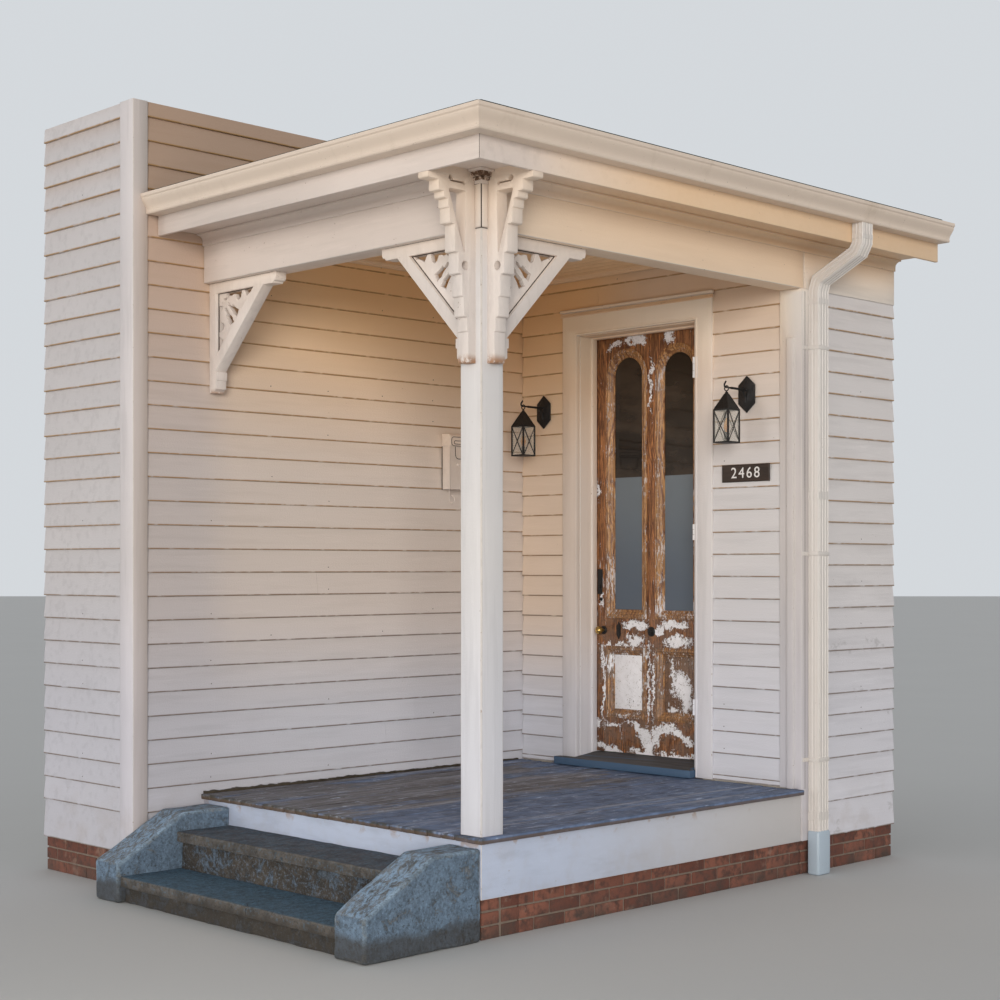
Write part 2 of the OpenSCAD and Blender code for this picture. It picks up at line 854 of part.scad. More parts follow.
// The sill in section: y out from the wall's inner face and z up, with a sloping top
module door_sill() {
    front = face_y - sill_out;
    slope_from = door_y - 8;
    left = -open_w / 2 - casing_w - 18;
    right = casing_inner + casing_set;
    color("steelblue") {
        block([left, front, deck_top], [right, face_y + siding_t - trim_t, deck_top + sill_nose_h]);
        translate([-open_w / 2, 0, 0]) rotate([90, 0, 90]) linear_extrude(open_w)
            polygon([[front, deck_top], [-wall_y, deck_top], [-wall_y, sill_z],
                     [slope_from, sill_z], [front, deck_top + sill_nose_h]]);
    }
}

module pane_outline(grow) {
    r = pane_w / 2;
    translate([-grow, -grow]) square([pane_w + 2 * grow, pane_h - r + grow]);
    translate([r, pane_h - r]) circle(r = r + grow);
}

// A layer of the door, in the door's own plane with x from its left edge and y up
module door_layer(front, thickness) {
    translate([door_left, front + thickness, door_z]) rotate([90, 0, 0])
        linear_extrude(thickness) children();
}

module door_leaf() {
    color("saddlebrown") door_layer(door_y, door_t) difference() {
        square([door_w, door_h]);
        for (x = pane_lefts) {
            translate([x, pane_z]) pane_outline(0);
            translate([x, bottom_rail_h]) square([pane_w, panel_h]);
        }
    }
}

bead_lap = 25;
bead_step = 10;
fill_y = door_y + door_t / 2;

// The four openings of the door with their outlines moved out by over, less those moved by under
module door_rings(over, under) {
    for (x = pane_lefts) {
        translate([x, pane_z]) difference() {
            pane_outline(over);
            pane_outline(under);
        }
        translate([x, bottom_rail_h]) difference() {
            translate(-over * [1, 1]) square([pane_w, panel_h] + 2 * over * [1, 1]);
            translate(-under * [1, 1]) square([pane_w, panel_h] + 2 * under * [1, 1]);
        }
    }
}

// Mouldings that lap over the door's face and step down to the panes and panels they hold
module door_beads() {
    color("peru") {
        door_layer(door_y - bead_out, bead_out - e) door_rings(bead_lap, -bead_step);
        door_layer(door_y - bead_out, fill_y - e - door_y + bead_out) door_rings(-e, -bead_step);
        door_layer(door_y + bead_step, fill_y - e - door_y - bead_step)
            door_rings(-e, bead_lap - bead_w);
    }
}

module door_panels() {
    panel_t = 14;
    color("whitesmoke") for (x = pane_lefts)
        door_layer(fill_y, panel_t)
            translate([x + e, bottom_rail_h + e]) square([pane_w - 2 * e, panel_h - 2 * e]);
}

glass_t = 4;

module door_glass() {
    color("slategray") door_layer(fill_y, glass_t)
        for (x = pane_lefts) translate([x, pane_z]) pane_outline(-e);
}

lock_w = 40;
lock_plate_h = 155;
lock_plate_t = 5;
lock_x = door_left + 30;
lock_z = deck_top + lock_h;
knob_x = door_left + 58;
knob_z = deck_top + knob_h;
rose_t = 6;
knob_hole_r = 9.5;

module door_lock() {
    color("black") {
        block([lock_x - lock_w / 2, door_y - lock_plate_t, lock_z],
              [lock_x + lock_w / 2, door_y, lock_z + lock_plate_h]);
        translate([lock_x, door_y - lock_plate_t + 1, lock_z + lock_plate_h * 0.3])
            rotate([90, 0, 0]) cylinder(r = lock_w * 0.375, h = lock_plate_t * 1.6);
        translate([lock_x + lock_w * 0.2, door_y, lock_z - lock_w * 0.8])
            rotate([90, 0, 0]) cylinder(r = lock_w * 0.275, h = rose_t);
        translate([knob_x, door_y, knob_z]) rotate([90, 0, 0]) difference() {
            cylinder(r = knob_hole_r * 2.75, h = rose_t);
            translate([0, 0, -1]) cylinder(r = knob_hole_r, h = rose_t + 2);
        }
        translate([knob_x + 124, door_y, knob_z + 50]) rotate([90, 90, 0])
            linear_extrude(rose_t) fret_leaf(100, 38);
        translate([0, door_y, knob_z]) rotate([90, 0, 0]) {
            cylinder(r = knob_hole_r * 3.15, h = rose_t);
            cylinder(r = knob_hole_r * 1.5, h = rose_t * 3);
        }
    }
}

module door_knob() {
    color("goldenrod") translate([knob_x, door_y, knob_z]) rotate([90, 0, 0]) rotate_extrude()
        polygon(concat(
            [[0, 0.5], [9, 0.5], [9, 22], [14, 26]],
            arc([0, 46], 25, -50, 60, 10),
            [[0, 69]]
        ));
}

hinge_leaf = 42;
hinge_plate = 3;
knuckle_h = hinge_h / 3 - 0.4;
hinge_zs = [door_z + 180, door_z + door_h / 2, door_z + door_h - 280];

// Knuckles on the door, above and below the fixed one, and their leaf on the door
module door_hinges() {
    color("dimgray") for (z = hinge_zs) {
        for (part = [0, 2]) translate([hinge_x, hinge_y, z + part * hinge_h / 3]) {
            cylinder(r = hinge_r, h = knuckle_h);
            translate([-hinge_leaf, -hinge_r - 1, 0]) cube([hinge_leaf - 3, hinge_plate, knuckle_h]);
        }
        translate([hinge_x - hinge_leaf, -wall_y, z])
            cube([hinge_leaf - hinge_r - 1, hinge_plate, hinge_h - 0.4]);
    }
}

module hinge_leaves() {
    color("dimgray") for (z = hinge_zs) translate([hinge_x, hinge_y, z + hinge_h / 3]) {
        cylinder(r = hinge_r, h = knuckle_h);
        translate([3, -hinge_r - 1, 0]) cube([hinge_leaf - 3, hinge_plate, knuckle_h]);
    }
}

lantern_xs = [left_x + 194, post_x - 374];
plate_mid_z = deck_top + 2190;
plate_h = 208;
plate_w = 116;
plate_t = 14;
hang_y = face_y - lantern_reach;
hang_z = plate_mid_z + plate_h / 8;
ring_r = 14;
wire_r = 3.5;
arm_r = 5;
arm_over = 12;
arm_rise = plate_h / 8;
tip_h = 26;
brace = 66;
brace_t = 8;
brace_band = 6;

module lantern_arms() {
    color("black") for (x = lantern_xs) translate([x, face_y, plate_mid_z]) {
        rotate([90, 0, 0]) linear_extrude(plate_t)
            polygon([[0, -plate_h / 2], [plate_w / 2, -plate_h * 0.25], [plate_w / 2, plate_h * 0.25],
                     [0, plate_h / 2], [-plate_w / 2, plate_h * 0.25], [-plate_w / 2, -plate_h * 0.25]]);
        translate([0, -plate_t + e, arm_rise]) rotate([90, 0, 0])
            cylinder(r = arm_r, h = lantern_reach + arm_over - plate_t);
        translate([0, -lantern_reach - arm_over, arm_rise]) {
            sphere(r = arm_r * 1.4);
            rotate([25, 0, 0]) cylinder(r = arm_r * 0.8, h = tip_h);
        }
        translate([-brace_t / 2, -plate_t + e, arm_rise]) rotate([90, 0, 90])
            linear_extrude(brace_t)
                polygon(concat([[-brace, 0], [0, 0], [0, -brace]],
                               arc([-brace, -brace], brace - brace_band, 0, 90)));
    }
}

lantern_roof_h = 100;
lantern_roof_z = -2 * ring_r - lantern_roof_h;
lantern_bar = 8;
cross_w = 4;
cross_t = 1.6;

// A lantern that hangs by its ring, seen from the middle of the arm it hangs on
module lantern() {
    half = lantern_w / 2;
    roof_h = lantern_roof_h;
    roof_z = lantern_roof_z;
    base_z = roof_z - lantern_h;
    bar = lantern_bar;
    color("black") {
        translate([0, 0, arm_r + 0.3 - ring_r + wire_r]) rotate([90, 0, 0]) rotate_extrude()
            translate([ring_r, 0]) circle(r = wire_r);
        translate([0, 0, roof_z]) rotate(45) cylinder(r1 = half * 1.5, r2 = 8, h = roof_h + 6, $fn = 4);
        for (sx = [-1, 1], sy = [-1, 1])
            translate([sx * (half - bar / 2) - bar / 2, sy * (half - bar / 2) - bar / 2, base_z])
                cube([bar, bar, lantern_h + 1]);
        for (side = [0:3], slant = [-1, 1]) rotate(90 * side)
            translate([half - cross_t / 2, 0, (base_z + bar + roof_z) / 2])
                rotate([slant * atan2(lantern_w - 2 * bar, lantern_h - bar), 0, 0])
                    cube([cross_t, cross_w, norm([lantern_w - 2 * bar, lantern_h - bar])], center = true);
        translate([-half, -half, base_z]) cube([lantern_w, lantern_w, bar]);
        translate([0, 0, base_z + bar - e]) cylinder(r = 11, h = 70);
    }
}

module lantern_panes() {
    outer = lantern_w - 4;
    pane_t = 2;
    low = lantern_roof_z - lantern_h + lantern_bar + 0.3;
    post_cut = lantern_bar + 0.3;
    color("lightgray") difference() {
        translate([-outer / 2, -outer / 2, low]) cube([outer, outer, lantern_roof_z - low - 0.3]);
        translate([pane_t - outer / 2, pane_t - outer / 2, low - 1])
            cube([outer - 2 * pane_t, outer - 2 * pane_t, lantern_h]);
        for (sx = [-1, 1], sy = [-1, 1])
            translate([sx * lantern_w / 2 - post_cut, sy * lantern_w / 2 - post_cut, low - 1])
                cube([2 * post_cut, 2 * post_cut, lantern_h]);
    }
}

module left_lantern() {
    translate([lantern_xs[0], hang_y, hang_z]) lantern();
}

module right_lantern() {
    translate([lantern_xs[1], hang_y, hang_z]) lantern();
}

module left_lantern_glass() {
    translate([lantern_xs[0], hang_y, hang_z]) lantern_panes();
}

module right_lantern_glass() {
    translate([lantern_xs[1], hang_y, hang_z]) lantern_panes();
}

mail_y = post_y + 1865;
mail_z = deck_top + 1690;

mail_wall = 2;

module mailbox() {
    wall = mail_wall;
    front = left_x + mail_d;
    rim = mail_w * 0.07;
    badge_z = mail_z + mail_h * 0.57;
    color("antiquewhite") {
        difference() {
            block([left_x, mail_y - mail_w / 2, mail_z], [front, mail_y + mail_w / 2, mail_z + mail_h]);
            block([left_x + wall, mail_y - mail_w / 2 + wall, mail_z + wall],
                  [front - wall, mail_y + mail_w / 2 - wall, mail_z + mail_h + 1]);
            block([front - wall / 2, mail_y - mail_w / 2 + rim, mail_z + rim],
                  [front + 1, mail_y + mail_w / 2 - rim, mail_z + mail_h - rim]);
        }
        translate([front - wall * 0.75, mail_y, badge_z]) rotate([90, 0, 90]) linear_extrude(wall * 2.5) {
            square([mail_w * 0.44, mail_w * 0.05], center = true);
            for (way = [-1, 1]) {
                translate([way * mail_w * 0.23, 0]) circle(r = mail_w * 0.04);
                translate([0, way * mail_w * 0.136]) circle(r = mail_w * 0.028);
            }
        }
        block([left_x, mail_y - mail_w / 2, mail_z + mail_h - e],
              [left_x + wall, mail_y + mail_w / 2, mail_z + mail_h + mail_lid_h]);
    }
}

// Side view of the lid, x out from the wall and y up, with a rounded front edge
module lid_section(inset) {
    r = 26;
    depth = mail_d + 4 - inset;
    top = mail_lid_h - 4 - inset;
    polygon(concat(
        [[inset, inset > 0 ? -1 : 0], [depth, inset > 0 ? -1 : 0]],
        arc([depth - r, top - r], r, 0, 90),
        [[inset, top]]
    ));
}

lid_x = left_x + mail_wall + 0.3;
lid_z = mail_z + mail_h + 0.3;

module mailbox_lid() {
    color("antiquewhite") translate([lid_x, 0, lid_z]) difference() {
        face_right(0, mail_y - mail_w / 2 - 3, mail_y + mail_w / 2 + 3) lid_section(0);
        face_right(0, mail_y - mail_w / 2 - 3 + mail_wall, mail_y + mail_w / 2 + 3 - mail_wall)
            lid_section(mail_wall);
    }
}

number_clear = 70;
number_z = deck_top + 1698;
number_h = 99;
number_t = 9;

module number_board() {
    color("black") block([casing_right_x + 5 + number_clear, face_y - number_t, number_z],
                         [right_board_x - number_clear, face_y, number_z + number_h]);
}

house_foundation();
porch_foundation();
left_wall();
front_wall_stub();
door_wall_left();
door_wall_right();
door_wall_over();
right_wall();
left_siding();
door_wall_siding();
right_siding();
corner_boards();
room_floor();
deck_joists();
deck_boards();
skirt_boards();
step_base();
step_slabs();
left_cheek_wall();
right_cheek_wall();
post();
front_beam();
side_beam();
frieze_board();
bed_moulding();
ceiling_boards();
soffit_boards();
roof_frame();
fascia_boards();
roof();
gutter();
downspout();
front_eave_bracket();
side_eave_bracket();
wall_spandrel();
front_spandrel();
side_spandrel();
spandrel_frets();
left_jamb();
right_jamb();
head_jamb();
door_casing();
door_sill();
door_leaf();
door_beads();
door_panels();
door_glass();
door_lock();
door_hinges();
hinge_leaves();
door_knob();
lantern_arms();
left_lantern();
right_lantern();
left_lantern_glass();
right_lantern_glass();
mailbox();
mailbox_lid();
number_board();
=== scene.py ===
"""Entrance porch: boards, bricks, ironwork, peeling paint and a studio round the frame."""
import math
import random

import bmesh
import bpy
from mathutils import Matrix, Vector, noise


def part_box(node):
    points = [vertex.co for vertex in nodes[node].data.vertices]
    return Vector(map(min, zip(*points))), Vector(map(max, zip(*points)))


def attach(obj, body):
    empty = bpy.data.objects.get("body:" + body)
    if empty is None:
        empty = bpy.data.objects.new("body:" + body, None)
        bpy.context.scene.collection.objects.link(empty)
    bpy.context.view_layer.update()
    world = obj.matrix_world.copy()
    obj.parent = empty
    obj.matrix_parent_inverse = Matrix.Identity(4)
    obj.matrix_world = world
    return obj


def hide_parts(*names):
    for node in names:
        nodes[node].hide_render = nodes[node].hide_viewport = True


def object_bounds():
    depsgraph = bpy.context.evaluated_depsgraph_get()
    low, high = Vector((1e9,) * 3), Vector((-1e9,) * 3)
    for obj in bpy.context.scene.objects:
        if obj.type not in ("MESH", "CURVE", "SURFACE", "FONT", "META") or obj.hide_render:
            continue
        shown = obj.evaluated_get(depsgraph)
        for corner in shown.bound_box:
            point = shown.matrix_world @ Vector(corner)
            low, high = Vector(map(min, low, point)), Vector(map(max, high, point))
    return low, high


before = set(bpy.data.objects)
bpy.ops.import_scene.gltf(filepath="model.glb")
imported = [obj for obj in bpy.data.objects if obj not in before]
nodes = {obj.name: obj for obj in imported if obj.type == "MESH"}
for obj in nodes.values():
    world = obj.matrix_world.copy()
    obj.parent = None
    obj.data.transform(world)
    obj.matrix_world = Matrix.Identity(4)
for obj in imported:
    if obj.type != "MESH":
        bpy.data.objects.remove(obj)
cad_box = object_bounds()

GROUND_BODY = "porch_body"
X, Y, Z = Vector((1, 0, 0)), Vector((0, 1, 0)), Vector((0, 0, 1))
scene = bpy.context.scene

# Without this the waves of the worn surfaces would differ from run to run.
noise.seed_set(7)


# Camera, floor and light

CAMERA_PLACE = (6.856, -7.945, 1.688)
CAMERA_TURN = 45.6
FOCAL_LENGTH = 62.46
ROOM_LIGHT = 0.44


def set_camera():
    """A level camera in front of the open corner, with its horizon below the middle."""
    data = bpy.data.cameras.new("porch_camera")
    data.sensor_width = 36
    data.lens = FOCAL_LENGTH
    data.shift_y = 0.067
    data.clip_end = 100
    camera = bpy.data.objects.new("porch_camera", data)
    camera.location = CAMERA_PLACE
    camera.rotation_euler = (math.radians(90), 0, math.radians(CAMERA_TURN))
    scene.collection.objects.link(camera)
    scene.camera = camera


def set_floor():
    bm = bmesh.new()
    bmesh.ops.create_grid(bm, x_segments=2, y_segments=2, size=90)
    mesh = bpy.data.meshes.new("studio_floor")
    bm.to_mesh(mesh)
    bm.free()
    floor = bpy.data.objects.new("studio_floor", mesh)
    scene.collection.objects.link(floor)
    pale = Finish("studio_floor_finish", roughness=0.9)
    pale.colour(pale.blend(pale.cloud(0.6), rgb(0.60, 0.60, 0.59), rgb(0.63, 0.63, 0.62)))
    mesh.materials.append(pale.material)


def set_light():
    """Two soft suns and a warm lamp near the floor, in a pale room."""
    world = bpy.data.worlds.new("studio")
    world.use_nodes = True
    tree = world.node_tree
    tree.nodes.clear()
    path = tree.nodes.new("ShaderNodeLightPath")
    seen = path.outputs["Is Camera Ray"]
    for kind in ("Is Transmission Ray", "Is Glossy Ray"):
        either = tree.nodes.new("ShaderNodeMath")
        either.operation = "MAXIMUM"
        tree.links.new(seen, either.inputs[0])
        tree.links.new(path.outputs[kind], either.inputs[1])
        seen = either.outputs[0]
    light = tree.nodes.new("ShaderNodeBackground")
    light.inputs["Color"].default_value = rgb(0.93, 0.96, 1.0)
    light.inputs["Strength"].default_value = ROOM_LIGHT
    backdrop = tree.nodes.new("ShaderNodeBackground")
    backdrop.inputs["Color"].default_value = rgb(0.66, 0.69, 0.72)
    mix = tree.nodes.new("ShaderNodeMixShader")
    tree.links.new(seen, mix.inputs[0])
    tree.links.new(light.outputs[0], mix.inputs[1])
    tree.links.new(backdrop.outputs[0], mix.inputs[2])
    out = tree.nodes.new("ShaderNodeOutputWorld")
    tree.links.new(mix.outputs[0], out.inputs["Surface"])
    scene.world = world
    bounce_place = Vector((2.6, -5.6, 0.45))
    bounce_aim = Vector((-0.2, -0.6, 3.3)) - bounce_place
    sun_place = (4, -6, 6)
    for name, kind, energy, spread, tint, place, aim in (
            ("key_lamp", "SUN", 2.15, math.radians(24), (1.0, 0.96, 0.90), sun_place,
             (-0.70, 0.70, -0.085)),
            ("fill_lamp", "SUN", 0.55, math.radians(18), (1.0, 0.97, 0.93), sun_place,
             (0.30, 0.90, -0.04)),
            ("bounce_lamp", "AREA", 55, 3.0, (1.0, 0.92, 0.80), bounce_place, bounce_aim)):
        data = bpy.data.lights.new(name, kind)
        data.energy = energy
        data.color = tint
        setattr(data, "angle" if kind == "SUN" else "size", spread)
        lamp = bpy.data.objects.new(name, data)
        lamp.location = place
        lamp.rotation_euler = Vector(aim).to_track_quat("-Z", "Y").to_euler()
        scene.collection.objects.link(lamp)
    scene.view_settings.view_transform = "Standard"


# Finishes

class Finish:
    """A material made of nodes, whose patterns follow the porch's own coordinates."""

    def __init__(self, name, roughness, **sockets):
        self.material = bpy.data.materials.new(name)
        self.material.use_nodes = True
        self.tree = self.material.node_tree
        self.shader = self.tree.nodes["Principled BSDF"]
        self.shader.inputs["Roughness"].default_value = roughness
        for key, value in sockets.items():
            self.shader.inputs[key.replace("_", " ")].default_value = value
        self.place = self.node("ShaderNodeTexCoord").outputs["Object"]

    def node(self, kind, **settings):
        made = self.tree.nodes.new(kind)
        for key, value in settings.items():
            setattr(made, key, value)
        return made

    def put(self, socket, value):
        if isinstance(value, bpy.types.NodeSocket):
            self.tree.links.new(value, socket)
        else:
            socket.default_value = value

    def stretched(self, scale):
        """The place, drawn out along the axes that have the smaller numbers."""
        made = self.node("ShaderNodeMapping")
        self.put(made.inputs["Vector"], self.place)
        made.inputs["Scale"].default_value = scale
        return made.outputs[0]

    def cloud(self, scale, detail=4.0, rough=0.55, at=None, swirl=0.0):
        made = self.node("ShaderNodeTexNoise")
        self.put(made.inputs["Vector"], at or self.place)
        made.inputs["Scale"].default_value = scale
        made.inputs["Detail"].default_value = detail
        made.inputs["Roughness"].default_value = rough
        made.inputs["Distortion"].default_value = swirl
        return made.outputs[0]

    def cells(self, scale):
        made = self.node("ShaderNodeTexVoronoi", feature="F1")
        self.put(made.inputs["Vector"], self.place)
        made.inputs["Scale"].default_value = scale
        return made.outputs["Distance"]

    def attribute(self, name):
        return self.node("ShaderNodeAttribute", attribute_name=name).outputs["Fac"]

    def axis(self, letter, of=None):
        made = self.node("ShaderNodeSeparateXYZ")
        self.put(made.inputs[0], of or self.place)
        return made.outputs[letter]

    def facing(self, letter):
        """How far the surface looks along an axis."""
        return self.axis(letter, self.node("ShaderNodeNewGeometry").outputs["Normal"])

    def step(self, value, low, high):
        """0 up to low and 1 from high, smooth between them."""
        made = self.node("ShaderNodeMapRange", interpolation_type="SMOOTHSTEP")
        self.put(made.inputs["Value"], value)
        made.inputs["From Min"].default_value = low
        made.inputs["From Max"].default_value = high
        return made.outputs[0]

    def reach(self, letter, low, high):
        """0 up to a place on an axis and 1 from another, in metres, in either direction."""
        return self.step(self.axis(letter), low, high)

    def spots(self, scale, low, high, **look):
        """Ragged spots: 0 where a cloud's value is at low and 1 where it is at high."""
        return self.step(self.cloud(scale, **look), low, high)

    def sum(self, kind, a, b):
        made = self.node("ShaderNodeMath", operation=kind)
        self.put(made.inputs[0], a)
        self.put(made.inputs[1], b)
        return made.outputs[0]

    def times(self, *values):
        total = values[0]
        for value in values[1:]:
            total = self.sum("MULTIPLY", total, value)
        return total

    def plus(self, a, b):
        return self.sum("ADD", a, b)

    def most(self, a, b):
        return self.sum("MAXIMUM", a, b)

    def blend(self, share, a, b, kind="MIX"):
        made = self.node("ShaderNodeMix", data_type="RGBA", blend_type=kind)
        self.put(made.inputs[0], share)
        self.put(made.inputs[6], a)
        self.put(made.inputs[7], b)
        return made.outputs[2]

    def colour(self, value):
        self.put(self.shader.inputs["Base Color"], value)

    def rough(self, value):
        self.put(self.shader.inputs["Roughness"], value)

    def relief(self, height, depth):
        made = self.node("ShaderNodeBump")
        made.inputs["Strength"].default_value = 1.0
        made.inputs["Distance"].default_value = depth
        self.put(made.inputs["Height"], height)
        self.put(self.shader.inputs["Normal"], made.outputs[0])


def rgb(red, green, blue):
    return (red, green, blue, 1)


def shade(colour, level):
    return tuple(c * level for c in colour[:3]) + (1,)


BARE_WOOD = rgb(0.26, 0.17, 0.11)
OLD_DIRT = rgb(0.30, 0.22, 0.15)
# Painted warm shade under the porch roof, and its deeper brown out in front of the beam
WARM_SHADE = rgb(0.86, 0.560, 0.290)
DEEP_WARM_SHADE = rgb(0.52, 0.345, 0.235)


def oil_paint(name, colour, along=(1, 1, 1), chips=0.5, warmth=1.0, lap_dirt_and_shade=False, outer=0.22,
              low_tint=0.0, soiled=False, worn_foot=False, corner=False, roof_shadow_top=0.0,
              far_end=None, warm_light_top=False):
    """Old oil paint: brush marks along the board, soiling, chips, and painted warm roof shade.

    warmth is how strong the warm painted shade under the roof is, outer how much of that
    starts at the porch's front, and low_tint how much of it is there low on the wall.
    far_end is the colour at the wall's end.
    """
    f = Finish(name, roughness=0.55)
    lengthwise = f.stretched(along)
    # Uneven coats, brush marks, chalk and stains
    base = f.blend(f.spots(1.3, 0.35, 0.68), shade(colour, 0.955), shade(colour, 1.035))
    base = f.blend(f.attribute("tone"), base, shade(colour, 0.94))
    brush = f.cloud(22, detail=3, at=lengthwise)
    base = f.blend(f.times(f.step(brush, 0.48, 0.70), 0.38), base, shade(colour, 0.76))
    chalk = f.spots(48, 0.54, 0.70, detail=5, rough=0.7, at=lengthwise)
    base = f.blend(f.times(chalk, 0.30), base, shade(colour, 1.14))
    stain = f.spots(3.1, 0.62, 0.86, detail=6, rough=0.7, at=lengthwise)
    base = f.blend(f.times(stain, 0.20), base, OLD_DIRT)
    # Painted light and warm shade under the roof, browner out in front of the beam
    if warmth:
        low_share = f.times(f.reach("X", 0.20, -0.50), low_tint)
        height = f.plus(f.times(f.reach("Z", 0.75, 1.50), low_share),
                        f.times(f.reach("Z", 2.05, 3.45), 1 - low_tint))
        behind = f.plus(f.times(f.reach("Y", -2.99, -2.90), outer),
                        f.times(f.reach("Y", -2.85, -1.40), 1 - outer))
        below_roof = f.reach("Z", 3.70, 3.64)
        beam_side = f.times(f.reach("Z", 3.19, 3.22), f.reach("Y", -0.06, -0.12))
        eaves = f.reach("Z", 3.20, 3.44)
        roof_shaded = f.most(f.most(f.reach("X", 1.20, 1.06), beam_side), eaves)
        inside = f.times(f.reach("Y", -2.99, -1.60), below_roof, roof_shaded)
        base = f.blend(f.times(inside, 0.20), base, rgb(1, 1, 1), "SCREEN")
        share = f.times(height, behind, below_roof, roof_shaded, warmth)
        behind_beam = f.reach("Y", -2.62, -2.30)
        base = f.blend(share, base, f.blend(behind_beam, DEEP_WARM_SHADE, WARM_SHADE))
    # A brown painted shadow high on the side wall, under the main roof's eave
    if roof_shadow_top:
        above = f.times(f.reach("Z", 3.60, 3.70), f.reach("Y", -2.985, -2.96))
        base = f.blend(f.times(above, roof_shadow_top), base, rgb(0.40, 0.235, 0.130))
    # Painted cool skylight low on the wall, with dirt at its foot
    base = f.blend(f.reach("Z", 1.90, 0.70), base, rgb(0.96, 1.0, 1.09), "MULTIPLY")
    low = f.times(f.reach("Z", 0.62, 0.18), f.spots(7, 0.42, 0.70, detail=5))
    base = f.blend(f.times(low, 0.22), base, OLD_DIRT)
    # Small chips down to the wood
    flakes = f.plus(f.cloud(85, detail=2), f.times(f.cloud(9, detail=3), 0.45))
    gone = f.step(flakes, 1.075 - 0.08 * chips, 1.095 - 0.08 * chips)
    base = f.blend(f.times(gone, 0.9), base, BARE_WOOD)
    if far_end:
        base = f.blend(f.reach("Y", -2.35, -0.20), base, far_end)
        rust = f.times(f.reach("Z", 0.385, 0.440), f.spots(13, 0.56, 0.64, detail=7))
        base = f.blend(f.times(rust, 0.55), base, rgb(0.34, 0.20, 0.11))
    # Painted light at the open front and the casing's head, painted shade on faces looking +X
    if corner:
        base = f.blend(f.reach("Y", -2.90, -2.97), base, rgb(1.15, 1.16, 1.19), "MULTIPLY")
        head = f.times(f.reach("Z", 2.75, 3.15), f.reach("Z", 3.40, 3.35),
                       f.reach("Y", -0.5, -0.3))
        base = f.blend(f.times(head, 0.45), base, rgb(1.0, 0.88, 0.70), "SCREEN")
        shaded_side = f.times(f.step(f.facing("X"), 0.5, 0.8), f.reach("X", -0.88, -0.90))
        base = f.blend(f.times(shaded_side, 0.32), base, rgb(0.40, 0.30, 0.22))
    if soiled:
        smudge = f.spots(2.6, 0.60, 0.68, detail=7, rough=0.72, at=f.stretched((1, 1, 1.6)))
        smudge = f.times(smudge, f.reach("Z", 1.75, 1.30), 0.45)
        base = f.blend(smudge, base, rgb(0.30, 0.285, 0.28))
    # Painted warm light high up under the roof
    if warm_light_top:
        base = f.blend(f.times(f.reach("Z", 2.95, 3.45), 0.60), base, rgb(0.80, 0.625, 0.460))
    if worn_foot:
        foot = f.times(f.reach("Z", 2.655, 2.612), f.reach("Y", -2.3, -2.4))
        foot = f.times(foot, f.spots(26, 0.36, 0.50, detail=6, rough=0.7))
        base = f.blend(f.times(foot, 0.92), base, rgb(0.34, 0.165, 0.075))
    # The dark lower edge of each lap board: dirt and painted shade, dark brown low, golden high
    if lap_dirt_and_shade:
        edge = f.times(f.step(f.attribute("lap_dirt_and_shade"), 0.45, 0.95), f.spots(14, 0.22, 0.52))
        line = f.blend(f.reach("Z", 1.10, 2.30), rgb(0.170, 0.122, 0.086),
                       rgb(0.35, 0.195, 0.066))
        base = f.blend(f.times(edge, 0.90), base, line)
    f.colour(base)
    f.rough(f.plus(f.times(brush, 0.25), 0.42))
    height = f.plus(f.times(brush, 0.5), f.times(gone, -0.8))
    f.relief(f.plus(height, f.times(f.cloud(140, detail=3), 0.40)), 0.0030)
    return f.material


def bare_timber(name, colour, along, wear=0.5, paint=None, paint_share=0.5, face_paint=0.0):
    """Weathered wood with long grain, grey bands, and what is left of a coat of paint."""
    f = Finish(name, roughness=0.75)
    lengthwise = f.stretched(along)
    grain = f.cloud(34, detail=6, rough=0.65, at=lengthwise, swirl=0.6)
    base = f.blend(f.step(grain, 0.32, 0.70), shade(colour, 0.55), shade(colour, 1.15))
    base = f.blend(f.times(f.attribute("tone"), 0.35), base, shade(colour, 0.62))
    grey = f.spots(2.4, 0.42, 0.66, detail=5, at=lengthwise)
    base = f.blend(f.times(grey, wear), base, shade(colour, 1.5))
    coat = 0.0
    if paint:
        worn = f.plus(f.cloud(4.2, detail=7, rough=0.72, at=lengthwise), f.times(grain, 0.35))
        worn = f.plus(worn, f.times(f.step(f.facing("Z"), 0.7, 0.3), face_paint))
        coat = f.step(worn, 0.72 - 0.25 * paint_share, 0.76 - 0.25 * paint_share)
        base = f.blend(f.times(coat, 0.85), base, paint)
    f.colour(base)
    f.rough(0.72)
    f.relief(f.plus(f.times(grain, 1.0), f.times(f.cloud(90, at=lengthwise), 0.4)), 0.003)
    return f.material


